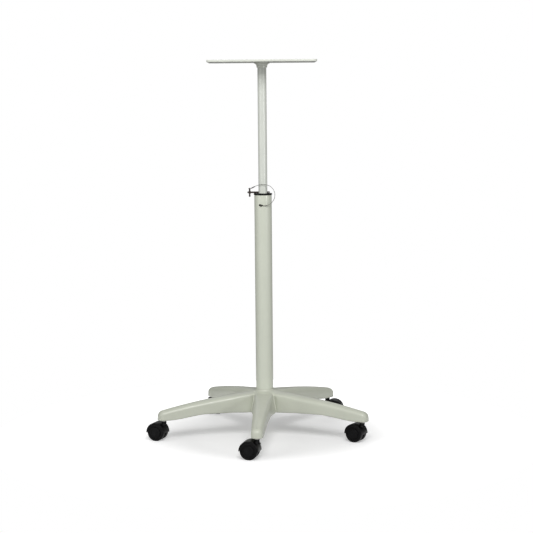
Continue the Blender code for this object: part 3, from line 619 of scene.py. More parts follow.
def ferrule_mesh(name, ends):
    """A crimped sleeve between two points, pinched twice along its length."""
    a, b = (AXIS + Vector(p) for p in ends)
    length = (b - a).length
    place = Matrix.Translation(a) @ (b - a).to_track_quat("Z", "Y").to_matrix().to_4x4()
    rim = 0.0004
    pinch = 0.00022
    profile = [(0, 0)]
    profile += arc(FERRULE_RADIUS - rim, rim, rim, -90, 0, 4)
    steps = 24
    for i in range(1, steps):
        t = i / steps
        waist = pinch * math.sin(2 * math.pi * t) ** 2
        profile.append((FERRULE_RADIUS - waist, rim + (length - 2 * rim) * t))
    profile += arc(FERRULE_RADIUS - rim, length - rim, rim, 0, 90, 4)
    profile.append((0, length))
    return turned_mesh(name, profile, SMALL_ROUND, place)


def make_lanyard():
    route = [AXIS + Vector(p) for p in LANYARD_ROUTE]
    path = smooth_route(route, 0.0004)
    rope = piece("lanyard_rope", rope_mesh(path), WIRE_STEEL, None, "zinc_steel", "lanyard_wire")
    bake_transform(rope)
    lower = ferrule_mesh("ferrule_lower", LOWER_FERRULE)
    piece("ferrule_lower", lower, FERRULE_STEEL, "root", "dark_steel", "lanyard_ferrule_lower")
    upper = ferrule_mesh("ferrule_upper", UPPER_FERRULE)
    piece("ferrule_upper", upper, PIN_STEEL, "lock_pin", "dark_steel", "lanyard_ferrule_upper")


# --- base ---


def swivel_place(k):
    return Vector(JOINTS[f"caster_{k}_swivel_turn"]["pos_m"])


def arm_angle(k):
    """The angle of the arm that carries caster k."""
    out = swivel_place(k) - AXIS
    return math.atan2(out.y, out.x)


ARM_SECTOR = 2 * math.pi / ARMS
CASTER_REACH = ((swivel_place(1) - AXIS) * Vector((1, 1, 0))).length
BASE_RADIUS = CASTER_REACH + ARM_TIP_OVERHANG - ARM_TIP_TRIM
TIP_UNDERSIDE = bottom("base_star")
HUB_TOP = top("base_star")
COLUMN_RADIUS = half_size("column_tube").x
MAST_RADIUS = half_size("mast_tube").x


def smoothstep(t):
    t = max(0.0, min(1.0, t))
    return t * t * (3 - 2 * t)


def arm_half_width(r):
    along = (r - ARM_POINTS_START) / (BASE_RADIUS - ARM_TIP_CORNER - ARM_POINTS_START)
    return ARM_ROOT_HALF_WIDTH + (ARM_TIP_HALF_WIDTH - ARM_ROOT_HALF_WIDTH) * along


def arm_top(r):
    return ARM_TOP_START - ARM_TOP_SLOPE * r - ARM_TOP_CURVE * r * r


def arm_underside(r):
    drop = smoothstep((r - ARM_DROP_START) / ARM_DROP_LENGTH)
    return ARM_UNDERSIDE - (ARM_UNDERSIDE - TIP_UNDERSIDE) * drop


def arm_side(inset, spread, start):
    """Half of one arm's plan outline, from the hub to the tip, as (r, w).

    The inset is a function of the radius.
    """
    straight_end = BASE_RADIUS - ARM_TIP_CORNER
    points = []
    for i in range(ARM_STEPS + 1):
        r = start + (straight_end - start) * i / ARM_STEPS
        fade = 1 - smoothstep((r - ARM_SPREAD_START) / (ARM_SPREAD_END - ARM_SPREAD_START))
        points.append((r, arm_half_width(r) + ARM_ROOT_SPREAD * spread * fade - inset(r)))
    corner = ARM_TIP_CORNER - inset(BASE_RADIUS)
    side = ARM_TIP_HALF_WIDTH - ARM_TIP_CORNER
    for a in quarter(CORNER_STEPS)[1:]:
        points.append((straight_end + corner * math.sin(a), side + corner * math.cos(a)))
    return points


def star_outline(inset, spread):
    """The star's plan outline as (x, y, r) points, in order round it.

    A spread of 0 is the outline under the shoulders, and 1 the one at the foot.
    """
    points = []
    fillet = ARM_FILLET[0] + (ARM_FILLET[1] - ARM_FILLET[0]) * spread
    root = ARM_ROOT_HALF_WIDTH + ARM_ROOT_SPREAD * spread
    start = (root + fillet) / math.tan(ARM_SECTOR / 2)
    fillet_centre = (root + fillet) / math.sin(ARM_SECTOR / 2)
    half = arm_side(inset, spread, start)
    for k in range(1, ARMS + 1):
        a = arm_angle(k)
        out = Vector((math.cos(a), math.sin(a)))
        side = Vector((-math.sin(a), math.cos(a)))
        for r, w in half:
            points.append((*(out * r - side * w), r))
        for r, w in reversed(half):
            points.append((*(out * r + side * w), r))
        middle = a + ARM_SECTOR / 2
        hollow = Vector((math.cos(middle), math.sin(middle))) * fillet_centre
        bend = math.pi - ARM_SECTOR
        for i in range(1, FILLET_STEPS + 1):
            turn = middle + math.pi + bend * (0.5 - i / (FILLET_STEPS + 1))
            out_turn = Vector((math.cos(turn), math.sin(turn)))
            points.append((*(hollow + out_turn * (fillet + inset(start))), start))
    return points


def shoulder(r):
    """The radius of an arm's top edge, which grows from the hub outwards."""
    share = smoothstep((r - SHOULDER_START) / SHOULDER_LENGTH)
    return HUB_SHOULDER + (ARM_SHOULDER - HUB_SHOULDER) * share


def cover_arms(bm, loop, crown):
    """Fills the arms across in strips, and returns the ring left at the hub."""
    side_count = ARM_STEPS + 1 + CORNER_STEPS
    sector = 2 * side_count + FILLET_STEPS
    hub = []
    for k in range(ARMS):
        first = k * sector
        last = first + 2 * side_count - 1
        rows = []
        for i in range(side_count):
            near = loop[first + i]
            far = loop[last - i]
            row = [near]
            for j in range(1, ROOT_STEPS + 1):
                t = j / (ROOT_STEPS + 1)
                point = near.co.lerp(far.co, t)
                point.z += crown * math.sin(math.pi * t)
                row.append(bm.verts.new(point))
            row.append(far)
            rows.append(row)
        for row, next_row in zip(rows, rows[1:]):
            for j in range(ROOT_STEPS + 1):
                bm.faces.new((row[j], row[j + 1], next_row[j + 1], next_row[j]))
        hub += [*rows[0], *loop[last + 1 : first + sector]]
    return hub


def close_in(bm, hub, steps):
    """Adds rings from the hub's ring inwards: (radius, z, share of the way there)."""
    ring = hub
    for radius, z, share in steps:
        inner = []
        for v in hub:
            a = math.atan2(v.co.y, v.co.x)
            own = math.hypot(v.co.x, v.co.y)
            reach = own + (radius - own) * share
            height = v.co.z + (z - v.co.z) * smoothstep(share)
            inner.append(bm.verts.new((reach * math.cos(a), reach * math.sin(a), height)))
        quads(bm, ring, inner)
        ring = inner
    return ring


def hub_dome():
    """Rings from the arms' roots up a soft cove to the column."""
    mouth = COLUMN_RADIUS + HUB_RIM_GAP
    foot = HUB_TOP - HUB_RISE
    steps = [(mouth + HUB_COVE, foot, share) for share in (0.25, 0.5, 0.75, 1.0)]
    for a in quarter(8)[1:-1]:
        rise = HUB_TOP - HUB_RISE * math.cos(a)
        steps.append((mouth + HUB_COVE * (1 - math.sin(a)), rise, 1.0))
    steps.append((mouth + 0.0004, HUB_TOP - 0.0004, 1.0))
    steps.append((mouth, HUB_TOP - 0.0009, 1.0))
    return steps


def arm_flank(r, share):
    """The inset and height of an arm's side, from above its lip to its shoulder."""
    foot = arm_underside(r) + ARM_LIP
    return ARM_DRAFT * share, foot * (1 - share) + (arm_top(r) - shoulder(r)) * share


def arm_edge(r, a):
    """The inset and height of an arm's rounded top edge."""
    inset = ARM_DRAFT + shoulder(r) * (1 - math.cos(a))
    return inset, arm_top(r) - ARM_CROWN - shoulder(r) * (1 - math.sin(a))


def star_mesh():
    bm = bmesh.new()

    def ring(spread, section):
        """Section gives the outline's inset and height at a radius."""
        outline = star_outline(lambda r: section(r)[0], spread)
        return [bm.verts.new((x, y, section(r)[1])) for x, y, r in outline]

    rings = []
    for a in quarter(3):
        cut, rise = ARM_LIP * (1 - math.sin(a)), ARM_LIP * (1 - math.cos(a))
        rings.append(ring(1.0, lambda r: (cut, arm_underside(r) + rise)))
    for share in (0.2, 0.4, 0.6, 0.8):
        rings.append(ring((1 - share) ** 1.3, lambda r: arm_flank(r, share)))
    for a in quarter(8):
        rings.append(ring(0.0, lambda r: arm_edge(r, a)))
    for lower, upper in zip(rings, rings[1:]):
        quads(bm, lower, upper)
    mouth = close_in(bm, cover_arms(bm, rings[-1], ARM_CROWN), hub_dome())
    under = cover_arms(bm, rings[0], 0.0)
    hole = close_in(bm, under, [(0.030, ARM_UNDERSIDE, 1.0), (HUB_BOLT_BORE, ARM_UNDERSIDE, 1.0)])
    floor = bottom("column_tube") - GAP
    floor_outer = [bm.verts.new((v.co.x, v.co.y, floor)) for v in mouth]
    floor_inner = [bm.verts.new((v.co.x, v.co.y, floor)) for v in hole]
    quads(bm, mouth, floor_outer)
    quads(bm, floor_outer, floor_inner)
    quads(bm, floor_inner, hole)
    return mesh_from(bm, "star_casting", 50)


def pocket_mesh():
    """The hollows under the arms, with rounded roofs, as one cutter."""
    bm = bmesh.new()
    stations = 12
    for k in range(1, ARMS + 1):
        a = arm_angle(k)
        out = Vector((math.cos(a), math.sin(a), 0))
        side = Vector((-math.sin(a), math.cos(a), 0))
        rings = []
        for i in range(stations):
            r = POCKET_START + (POCKET_END - POCKET_START) * i / (stations - 1)
            w = arm_half_width(r) - ARM_WALL
            roof = arm_top(r) - ARM_ROOF - ARM_CROWN
            half = [(w, TIP_UNDERSIDE - 0.01)]
            half += arc(w - POCKET_CORNER, roof - POCKET_CORNER, POCKET_CORNER, 0, 90, 4)
            other = [(-across, z) for across, z in reversed(half)]
            places = [out * r + side * u + Vector((0, 0, z)) for u, z in half + other]
            rings.append([bm.verts.new(p) for p in places])
        loft(bm, rings)
    return mesh_from(bm, "pockets")


def make_base():
    star = combine(star_mesh(), pocket_mesh(), "DIFFERENCE", 50)
    radius = half_size("caster_1_sleeve").x - STEM_BORE_WALL
    bore = cylinder(radius, 0.05, top("caster_1_sleeve") + GAP)
    bm = bmesh.new()
    for k in range(1, ARMS + 1):
        spot = swivel_place(k) - AXIS
        turned(bm, bore, SMALL_ROUND, Matrix.Translation((spot.x, spot.y, 0)))
    star = combine(star, mesh_from(bm, "stem_bores"), "DIFFERENCE", 50)
    star.transform(Matrix.Translation(AXIS))
    piece("star_casting", star, BASE_PAINT_PAINTED_SHADE, "root", "grey_green_paint", "base_star")


# --- column, collar, mast, plate ---


def at_axis(z=0.0):
    return Matrix.Translation((AXIS.x, AXIS.y, z))


def lanyard_screw_place():
    """Local +Z points out of the column where the lanyard's screw sits."""
    screw = centre("lanyard_screw")
    turn = Matrix.Rotation(math.asin((screw.x - AXIS.x) / COLUMN_RADIUS), 4, "Z")
    return at_axis(screw.z) @ turn @ along_y(0, -COLUMN_RADIUS, 0)


def screw_drilled(mesh):
    """Takes the lanyard screw's hole out of the column or its collar."""
    return drilled(mesh, SCREW_HOLE, -0.0065, 0.008, lanyard_screw_place())


def grub_place():
    """Local +Z points out of the back of the socket along its grub screw."""
    return at_axis(centre("socket_grub_screw").z) @ Matrix.Rotation(-math.pi / 2, 4, "X")


def make_column():
    low, high = bottom("column_tube"), top("column_tube")
    outer, inner = COLUMN_RADIUS, COLUMN_RADIUS - COLUMN_WALL
    profile = [(inner, low), (outer, low)]
    profile += [(outer, low + (high - low) * i / 24) for i in range(1, 24)]
    profile += arc(outer - 0.0007, high - 0.0007, 0.0007, 0, 90, 5)
    profile += arc(inner + 0.0004, high - 0.0004, 0.0004, 90, 180, 3)
    tube = screw_drilled(turned_mesh("column", profile, ROUND, at_axis()))
    piece("column", tube, COLUMN_PAINT, "root", "grey_green_paint", "column_tube")


def make_collar():
    low, high = bottom("collar_bush"), top("collar_bush")
    seat = top("column_tube") + GAP
    outer = half_size("collar_bush").x
    bore = MAST_RADIUS + GAP
    spigot = COLUMN_RADIUS - COLUMN_WALL - GAP
    profile = [(bore, low), (spigot - 0.001, low), (spigot, low + 0.001), (spigot, seat)]
    profile += arc(outer - 0.0006, seat + 0.0006, 0.0006, -90, 0, 4)
    profile += arc(outer - 0.0016, high - 0.0016, 0.0016, 0, 90, 7)
    profile += [(outer - 0.0032, high), (outer - 0.0036, high - 0.0004)]
    profile += [(bore + 0.0040, high - 0.0004), (bore + 0.0034, high)]
    profile += arc(bore + 0.0008, high - 0.0008, 0.0008, 90, 180, 4)
    bush = screw_drilled(turned_mesh("collar", profile, ROUND, at_axis()))
    piece("collar", bush, BLACK_PLASTIC, "root", "black_plastic", "collar_bush")


def make_mast():
    low, high = bottom("mast_tube"), top("mast_tube")
    inner = MAST_RADIUS - MAST_WALL
    profile = [(inner, low)]
    profile += arc(MAST_RADIUS - 0.0005, low + 0.0005, 0.0005, -90, 0, 3)
    profile += [(MAST_RADIUS, low + (high - low) * i / 30) for i in range(1, 30)]
    profile += arc(MAST_RADIUS - 0.0005, high - 0.0005, 0.0005, 0, 90, 3)
    profile.append((inner, high))
    tube = turned_mesh("mast", profile, 80, at_axis())
    flare = PIN_HOLE_RADIUS + 0.0005
    straight = MAST_RADIUS - 0.0006
    outline = [(0, -0.02), (flare, -0.02), (flare, -MAST_RADIUS), (PIN_HOLE_RADIUS, -straight)]
    outline += [(PIN_HOLE_RADIUS, straight), (flare, MAST_RADIUS), (flare, 0.02), (0, 0.02)]
    bm = bmesh.new()
    for i in range(PIN_HOLES):
        z = centre("pin_shaft").z - i * PIN_HOLE_STEP
        turned(bm, outline, SMALL_ROUND, along_x(AXIS.x, AXIS.y, z))
    turned(bm, cylinder(GRUB_HOLE, 0.005, 0.02), SMALL_ROUND, grub_place())
    tube = combine(tube, mesh_from(bm, "cross_holes"), "DIFFERENCE")
    piece("mast", tube, MAST_FINISH, "mast", "mast_paint", "mast_tube")


def plate_screws():
    return [centre(f"plate_screw_{k}") for k in range(1, 5)]


def make_socket():
    low, high = bottom("plate_socket"), top("plate_socket")
    outer = half_size("plate_socket").x
    bore = MAST_RADIUS + GAP
    neck = MAST_RADIUS + SOCKET_WALL
    rim = 0.0026
    roof = top("mast_tube") + GAP
    profile = [(bore, low)]
    profile += arc(neck - 0.0007, low + 0.0007, 0.0007, -90, 0, 5)
    rise = high - low - rim - 0.0025
    for a in quarter(14):
        across = neck + (outer - neck) * (1 - math.cos(a))
        profile.append((across, low + 0.0025 + rise * math.sin(a)))
    profile += arc(outer - 0.0006, high - 0.0006, 0.0006, 0, 90, 4)
    profile += [(0, high), (0, roof), (bore, roof)]
    socket = turned_mesh("socket", profile, ROUND, at_axis())
    bm = bmesh.new()
    for spot in plate_screws():
        place = Matrix.Translation((spot.x, spot.y, high))
        turned(bm, cylinder(PLATE_SCREW_HOLE, -0.0034, 0.002), 20, place)
    turned(bm, cylinder(GRUB_HOLE, 0.010, 0.02), 20, grub_place())
    socket = combine(socket, mesh_from(bm, "socket_holes"), "DIFFERENCE")
    piece("socket", socket, PLATE_PAINT, "mast", "plate_paint", "plate_socket")


def plate_ring(bm, inset, z):
    middle, half = centre("top_plate"), half_size("top_plate")
    ring = []
    for k, (sx, sy) in enumerate(((1, 1), (-1, 1), (-1, -1), (1, -1))):
        x = middle.x + sx * (half.x - PLATE_CORNER)
        y = middle.y + sy * (half.y - PLATE_CORNER)
        for i in range(11):
            a = math.pi / 2 * (k + i / 10)
            r = PLATE_CORNER - inset
            ring.append(bm.verts.new((x + r * math.cos(a), y + r * math.sin(a), z)))
    return ring


def make_plate():
    low, high = bottom("top_plate"), top("top_plate")
    bm = bmesh.new()
    cuts = [(PLATE_EDGE * (1 - math.sin(a)), PLATE_EDGE * (1 - math.cos(a))) for a in quarter(4)]
    rings = [plate_ring(bm, inset, low + rise) for inset, rise in cuts]
    rings += [plate_ring(bm, inset, high - rise) for inset, rise in reversed(cuts)]
    loft(bm, rings)
    plate = mesh_from(bm, "plate")
    head = half_size("plate_screw_1").x
    outline = [(0, -0.008), (PLATE_SCREW_HOLE, -0.008), (PLATE_SCREW_HOLE, -0.0022)]
    outline += [(head + GAP, -GAP), (head + GAP, 0.002), (0, 0.002)]
    bm = bmesh.new()
    for spot in plate_screws():
        turned(bm, outline, SMALL_ROUND, Matrix.Translation((spot.x, spot.y, high)))
    plate = combine(plate, mesh_from(bm, "screw_holes"), "DIFFERENCE")
    piece("plate", plate, PLATE_PAINT, "mast", "plate_paint", "top_plate")
    make_plate_screws(high, head)


def cross_recess(place, reach, depth):
    """A cross-head driver's recess, as a cutter."""
    slim = reach * 0.17
    corners = [(slim, reach), (slim, slim), (reach, slim)]
    outline = []
    for k in range(4):
        turn = Matrix.Rotation(-k * math.pi / 2, 2)
        outline += [turn @ Vector(corner) for corner in corners]
    bm = bmesh.new()
    rings = []
    for z in (-depth, depth):
        rings.append([bm.verts.new(place @ Vector((x, y, z))) for x, y in outline])
    loft(bm, rings)
    return mesh_from(bm, "recess")


def make_plate_screws(face, head):
    rim = head - 0.0002
    shank = PLATE_SCREW_RADIUS
    for k, spot in enumerate(plate_screws(), 1):
        low = bottom(f"plate_screw_{k}") - face
        place = Matrix.Translation((spot.x, spot.y, face)) @ Matrix.Rotation(0.6 * k, 4, "Z")
        profile = [(0, low), (shank - 0.0004, low), (shank, low + 0.0005), (shank, -0.0020)]
        profile += [(rim, -0.0003), (rim, -0.00008), (0, -0.00002)]
        screw = turned_mesh(f"countersunk_screw_{k}", profile, SMALL_ROUND, place)
        cut = cross_recess(place @ Matrix.Rotation(0.2, 4, "Z"), head * 0.62, 0.0011)
        screw = combine(screw, cut, "DIFFERENCE")
        piece(f"countersunk_screw_{k}", screw, ZINC, "mast", "zinc_steel", f"plate_screw_{k}")


# --- lock pin ---


def make_pin_shaft(place):
    low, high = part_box("pin_shaft")
    radius = half_size("pin_shaft").z
    start, tip = low.x - AXIS.x, high.x - AXIS.x
    groove = centre("pin_tee_handle").x - AXIS.x + 0.0040
    profile = [(SPINDLE_BORE, start), (radius, start), (radius, groove)]
    profile += arc(radius - 0.0004, groove + 0.0008, 0.0004, 0, -90, 2)
    profile += arc(radius - 0.0004, groove + 0.0016, 0.0004, 90, 0, 2)
    profile.append((radius, tip - 0.0016))
    profile += arc(radius - 0.0009, tip - 0.0012, 0.0009, 0, 75, 5)
    profile.append((SPINDLE_BORE, tip))
    shaft = turned_mesh("lock_pin_shaft", profile, SMALL_ROUND, place)
    across = along_y(centre("pin_ball_front").x, AXIS.y, centre("pin_shaft").z)
    shaft = drilled(shaft, SPINDLE_BORE, -0.006, 0.006, across, 20)
    piece("lock_pin_shaft", shaft, PIN_STEEL, "lock_pin", "dark_steel", "pin_shaft")


def make_tee_handle(place):
    low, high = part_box("pin_tee_handle")
    middle = centre("pin_tee_handle").x
    x = middle - AXIS.x
    end, shoulder_radius = TEE_BAR_END, TEE_BAR_RADIUS - TEE_BAR_END
    bar = [(0, low.z)]
    bar += arc(shoulder_radius, low.z + end, end, -90, 0, 6)
    for i in range(1, 20):
        t = i / 20
        waist = TEE_BAR_WAIST * math.sin(math.pi * t) ** 2
        bar.append((TEE_BAR_RADIUS - waist, low.z + end + (high.z - low.z - 2 * end) * t))
    bar += arc(shoulder_radius, high.z - end, end, 0, 90, 6)
    bar.append((0, high.z))
    handle = turned_mesh("tee_handle", bar, SMALL_ROUND, Matrix.Translation((middle, AXIS.y, 0)))
    hub = rounded_rod(half_size("pin_tee_handle").y, x - TEE_HUB_HALF, x + TEE_HUB_HALF, 0.0007)
    handle = combine(handle, turned_mesh("hub", hub, SMALL_ROUND, place), "UNION")
    handle = drilled(handle, half_size("pin_shaft").z + GAP, x - 0.01, x + 0.01, place)
    handle = piece("tee_handle", handle, PIN_STEEL, "lock_pin", "dark_steel", "pin_tee_handle")
    soften(handle, 0.0002)


def make_push_button(place):
    low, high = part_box("pin_button")
    radius = half_size("pin_button").z
    first, last = low.x - AXIS.x, high.x - AXIS.x
    dish = [(0, first + 0.0003), (radius * 0.55, first + 0.0001)]
    dish += arc(radius - 0.0007, first + 0.0007, 0.0007, -90, 0, 5)
    dish += [(radius, last), (0, last)]
    button = turned_mesh("push_button", dish, SMALL_ROUND, place)
    piece("push_button", button, BLACK_PLASTIC, "pin_button", "black_plastic", "pin_button")


def make_lock_pin():
    place = along_x(AXIS.x, AXIS.y, centre("pin_shaft").z)
    make_pin_shaft(place)
    make_tee_handle(place)
    make_push_button(place)


def make_tee_loop():
    """The lanyard's end loop: a strand of wire round the tee bar."""
    middle, half = centre("lanyard_loop"), half_size("lanyard_loop")
    wire = LOOP_WIRE_RADIUS
    slope = math.atan2(half.z - wire, half.x)
    up = Vector((-math.sin(slope), 0, math.cos(slope)))
    steps, sides = 72, 16
    bm = bmesh.new()
    rings = []
    for i in range(steps):
        a = 2 * math.pi * i / steps
        out = Vector((math.cos(a) * math.cos(slope), math.sin(a), math.cos(a) * math.sin(slope)))
        spot = middle + out * (half.y - wire)
        ring = []
        for k in range(sides):
            b = 2 * math.pi * k / sides
            reach = wire * (0.86 + 0.14 * abs(math.cos(3 * b + 4 * a)))
            ring.append(bm.verts.new(spot + (out * math.cos(b) + up * math.sin(b)) * reach))
        rings.append(ring)
    for first, second in zip(rings, rings[1:] + rings[:1]):
        quads(bm, first, second)
    loop = mesh_from(bm, "tee_loop", 60)
    piece("tee_loop", loop, WIRE_STEEL, "lock_pin", "zinc_steel", "lanyard_loop")


def lug_outline():
    """An eyelet's outline, a round head narrowing to a tail, with its head tilted."""
    outline = arc(0.0055, 0.0, 0.0012, -90, 90, 10)
    outline += arc(-0.0002, 0.0, 0.0031, 58, 90, 5)
    outline += arc(-0.0032, 0.0, 0.0031, 90, 270, 24)
    outline += arc(-0.0002, 0.0, 0.0031, 270, 302, 5)
    bent = []
    for x, y in outline:
        turn = LUG_TILT * max(0.0, min(1.0, (0.0030 - x) / 0.0060))
        bent.append((x * math.cos(turn) - y * math.sin(turn), x * math.sin(turn) + y * math.cos(turn)))
    return bent


def make_eyelet_lug(place):
    edge = 0.00025
    low, high = GAP, GAP + LUG_THICKNESS
    bm = bmesh.new()
    rings = []
    for inset, z in ((edge, low), (0, low + edge), (0, high - edge), (edge, high)):
        shrink = 1 - inset / 0.0035
        points = [Vector((x * shrink, y * shrink, z)) for x, y in lug_outline()]
        rings.append([bm.verts.new(place @ point) for point in points])
    loft(bm, rings)
    lug = drilled(mesh_from(bm, "eyelet_lug"), SCREW_HOLE, -0.001, 0.003, place)
    piece("eyelet_lug", lug, DARK_STEEL, "root", "dark_steel", "lanyard_eyelet")


def make_lanyard_screw():
    """A button-head screw over a stamped eyelet with a tail to the ferrule."""
    place = lanyard_screw_place()
    make_eyelet_lug(place)
    under = GAP + LUG_THICKNESS + GAP
    radius = 0.0030
    head = 0.0022
    rim = 0.0006
    profile = [(0, -0.006), (0.0015, -0.006), (0.0018, -0.0055), (0.0018, under)]
    profile += [(radius, under), (radius, under + rim)]
    for a in quarter(9)[1:-1]:
        profile.append((radius * math.cos(a) ** 0.8, under + rim + (head - rim) * math.sin(a)))
    profile.append((0, under + head))
    screw = turned_mesh("button_screw", profile, SMALL_ROUND, place)
    screw = drilled(screw, 0.0011, under + head - 0.0013, under + head + 0.001, place, 6)
    piece("button_screw", screw, DARK_STEEL, "root", "dark_steel", "lanyard_screw")


# --- casters ---

WHEEL_RADIUS = half_size("caster_1_left_wheel").z


def wheel_mesh():
    """A moulded wheel about Z, its closed face up, with a tread and stepped rings."""
    half = WHEEL_WIDTH / 2
    bore = AXLE_RADIUS + GAP
    blind = half - 0.0011
    face = [(0, half - 0.0003), (0.0040, half - 0.0003), (0.0046, half - 0.0008)]
    face += [(0.0132, half - 0.0008), (0.0138, half - 0.0001), (0.0148, half)]
    face += [(0.0154, half - 0.0006), (0.0159, half - 0.0022), (0.0186, half - 0.0022)]
    face += [(0.0192, half - 0.0010), (0.0198, half - 0.0004)]
    face += arc(WHEEL_RADIUS - 0.0024, half - 0.0026, 0.0024, 80, 6, 7)
    inner = [(bore, -half), (0.0060, -half), (0.0066, -half + 0.0012), (0.0180, -half + 0.0012)]
    inner += [(0.0188, -half)]
    inner += arc(WHEEL_RADIUS - 0.0018, -half + 0.0018, 0.0018, -80, -6, 6)
    profile = [*face, (WHEEL_RADIUS, 0.0006), (WHEEL_RADIUS, -0.0006), *reversed(inner)]
    profile += [(bore, blind), (0, blind)]
    bm = bmesh.new()
    turned(bm, profile, ROUND)
    return mesh_from(bm, "wheel", 40)


def hood_mesh():
    """A half-round fender with side lips, and its middle web."""
    steps = 48
    start, end = math.radians(-2), math.radians(182)
    section = arc(HOOD_HALF_WIDTH - HOOD_EDGE, HOOD_OUTER - HOOD_EDGE, HOOD_EDGE, 90, 0, 4)
    section.append((HOOD_HALF_WIDTH, HOOD_INNER - 0.0014))
    section.append((HOOD_HALF_WIDTH - 0.0008, HOOD_INNER - 0.0016))
    section.append((HOOD_HALF_WIDTH - 0.0012, HOOD_INNER))
    section += [(-across, r) for across, r in reversed(section)]
    bm = bmesh.new()
    rings = []
    for i in range(steps + 1):
        a = start + (end - start) * i / steps
        out = Vector((math.cos(a), 0, math.sin(a)))
        rings.append([bm.verts.new(out * r + Vector((0, y, 0))) for y, r in section])
    loft(bm, rings)
    hood = mesh_from(bm, "hood")

    outline = arc(0, 0, HOOD_INNER + 0.0006, 0, 180, 40)
    outline += arc(0, 0, 0.0090, 200, 340, 12)
    bm = bmesh.new()
    loft(bm, [[bm.verts.new((x, y, z)) for x, z in outline] for y in (-HOOD_WEB, HOOD_WEB)])
    return combine(hood, mesh_from(bm, "web"), "UNION")


def boss_mesh(trail):
    """The stem's boss, flared softly where it meets the fender."""
    low = BOSS_FOOT - WHEEL_RADIUS
    high = top("caster_1_hood") - WHEEL_RADIUS
    profile = [(0, low), (HOOD_BOSS + BOSS_FLARE, low)]
    for a in quarter(8):
        rise = 0.0015 + 0.0055 * (1 - math.cos(a))
        profile.append((HOOD_BOSS + BOSS_FLARE * (1 - math.sin(a)), low + rise))
    profile += arc(HOOD_BOSS - 0.0010, high - 0.0010, 0.0010, 0, 90, 4)
    profile.append((0, high))
    return turned_mesh("boss", profile, 48, Matrix.Translation((-trail, 0, 0)))


def make_hood(trail):
    hood = combine(hood_mesh(), boss_mesh(trail), "UNION")
    for turn in (-math.pi / 2, math.pi / 2):
        place = Matrix.Rotation(turn, 4, "X")
        reach = HOOD_HALF_WIDTH - HOOD_WALL
        hood = drilled(hood, HOOD_INNER - 0.0004, HOOD_WEB, reach, place, ROUND)
    hood = drilled(hood, AXLE_RADIUS + GAP, -0.01, 0.01, along_y())
    low = bottom("caster_1_stem") - WHEEL_RADIUS - 0.0005
    return drilled(hood, STEM_NECK, low, 0.05, Matrix.Translation((-trail, 0, 0)))


def make_casters():
    first_axle = Vector(JOINTS["caster_1_left_wheel_spin"]["pos_m"])
    trail = ((first_axle - swivel_place(1)) * Vector((1, 1, 0))).length
    hood = make_hood(trail)
    wheel = wheel_mesh()
    across = WHEEL_INSIDE + WHEEL_WIDTH / 2
    for k in range(1, ARMS + 1):
        name = f"caster_{k}"
        axle = Vector(JOINTS[f"{name}_left_wheel_spin"]["pos_m"])
        ahead = axle - swivel_place(k)
        turn = Matrix.Rotation(math.atan2(ahead.y, ahead.x), 4, "Z")
        place = Matrix.Translation(axle) @ turn
        own = hood.copy()
        own.transform(place)
        body = f"{name}_swivel"
        fender = piece(f"{name}_fender", own, BLACK_PLASTIC, body, "black_plastic", f"{name}_hood")
        soften(fender, 0.00035)
        for side, label in ((1, "left"), (-1, "right")):
            spin = Matrix.Rotation(0.4 * k, 4, "Y")
            own = wheel.copy()
            outward = Matrix.Rotation(-side * math.pi / 2, 4, "X")
            own.transform(place @ Matrix.Translation((0, side * across, 0)) @ spin @ outward)
            body = f"{name}_{label}_wheel"
            piece(f"{name}_{label}_disc", own, WHEEL_PLASTIC, body, "wheel_rubber", body)


# --- carried-over nodes, stage, lights ----------------------------------------


def finish_cad_nodes():
    """Gives every CAD node that stays in view its own finish."""
    finishes = {
        "black_plastic": GUIDE_PLASTIC,
        "zinc_steel": ZINC,
        "dark_steel": DARK_STEEL,
        "wheel_rubber": WHEEL_PLASTIC,
        # grey-green nodes take the base's darker copy of the paint, which carries painted shade
        "grey_green_paint": BASE_PAINT_PAINTED_SHADE,
        "plate_paint": PLATE_PAINT,
        "mast_paint": MAST_FINISH,
    }
    for row in frame["record"]["subparts"]:
        node = frame["nodes"][row["node"]]
        for slot in node.material_slots:
            slot.material = finishes[row["material_slot"]]


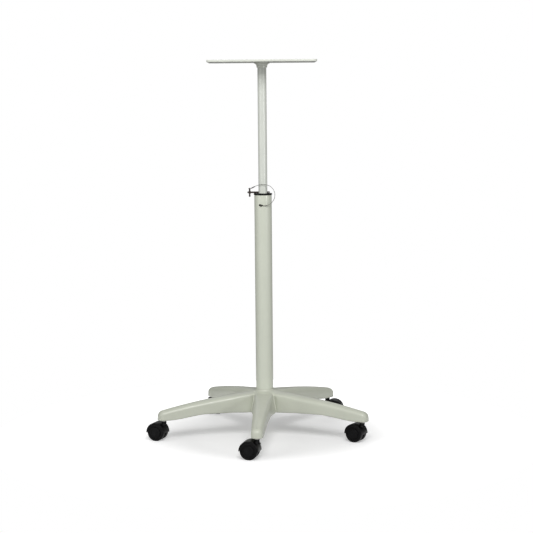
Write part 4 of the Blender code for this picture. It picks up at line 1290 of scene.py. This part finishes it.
def make_floor():
    """A pale round floor, self-lit towards its rim so that shadows fade out."""
    bm = bmesh.new()
    bmesh.ops.create_circle(bm, cap_ends=True, segments=128, radius=FLOOR_RADIUS)
    mesh = bpy.data.meshes.new("floor")
    bm.to_mesh(mesh)
    bm.free()
    floor = placed("floor", mesh)
    floor.location = AXIS
    floor.visible_diffuse = False
    paper = Finish("floor_paper", 0.9, specular=0.1)
    paper.shader.inputs["Base Color"].default_value = (*[FLOOR_SHADE] * 3, 1.0)
    paper.shader.inputs["Emission Color"].default_value = (1.0, 1.0, 1.0, 1.0)
    distance = paper.node("VectorMath")
    distance.operation = "LENGTH"
    paper.link(paper.place, distance.inputs[0])
    glow = paper.ramp(distance.outputs["Value"], FLOOR_GLOW, 1.0, *FLOOR_GLOW_RADII, kind="SMOOTHSTEP")
    paper.link(glow, paper.shader.inputs["Emission Strength"])
    mesh.materials.append(paper.material)


def softbox(name, spot, aim, size, power):
    """A square light at a spot, aimed at a height up the column."""
    data = bpy.data.lights.new(name, "AREA")
    data.size = size
    data.energy = power
    light = placed(name, data)
    light.location = AXIS + Vector(spot)
    direction = AXIS + Vector((0, 0, aim)) - light.location
    light.rotation_mode = "QUATERNION"
    light.rotation_quaternion = direction.to_track_quat("-Z", "Y")


def from_front(azimuth, elevation, distance):
    """A spot round the stand: azimuth in degrees to the right of the front."""
    a = math.radians(azimuth)
    e = math.radians(elevation)
    level = distance * math.cos(e)
    return (level * math.sin(a), -level * math.cos(a), distance * math.sin(e))


def make_lights():
    softbox("front_top", from_front(4, 44, 3.6), 0.1, 1.3, 60)
    softbox("side_right", from_front(46, 15, 3.2), 0.6, 0.35, 15)
    softbox("side_left", from_front(-52, 24, 3.3), 0.4, 1.8, 25)
    softbox("back_fill", from_front(176, 34, 3.4), 0.5, 2.2, 7)
    world = bpy.data.worlds.new("studio")
    bpy.context.scene.world = world
    world.use_nodes = True
    tree = world.node_tree
    background = tree.nodes["Background"]
    background.inputs["Color"].default_value = (1.0, 1.0, 1.0, 1.0)
    background.inputs["Strength"].default_value = WORLD_STRENGTH
    seen = tree.nodes.new("ShaderNodeBackground")
    seen.inputs["Color"].default_value = (1.0, 1.0, 1.0, 1.0)
    rays = tree.nodes.new("ShaderNodeLightPath")
    mix = tree.nodes.new("ShaderNodeMixShader")
    tree.links.new(rays.outputs["Is Camera Ray"], mix.inputs["Fac"])
    tree.links.new(background.outputs["Background"], mix.inputs[1])
    tree.links.new(seen.outputs["Background"], mix.inputs[2])
    tree.links.new(mix.outputs["Shader"], tree.nodes["World Output"].inputs["Surface"])
    bpy.context.scene.view_settings.view_transform = "Standard"


make_camera()
make_lanyard()
make_base()
make_column()
make_collar()
make_mast()
make_socket()
make_plate()
make_lock_pin()
make_tee_loop()
make_lanyard_screw()
make_casters()
finish_cad_nodes()
make_floor()
make_lights()
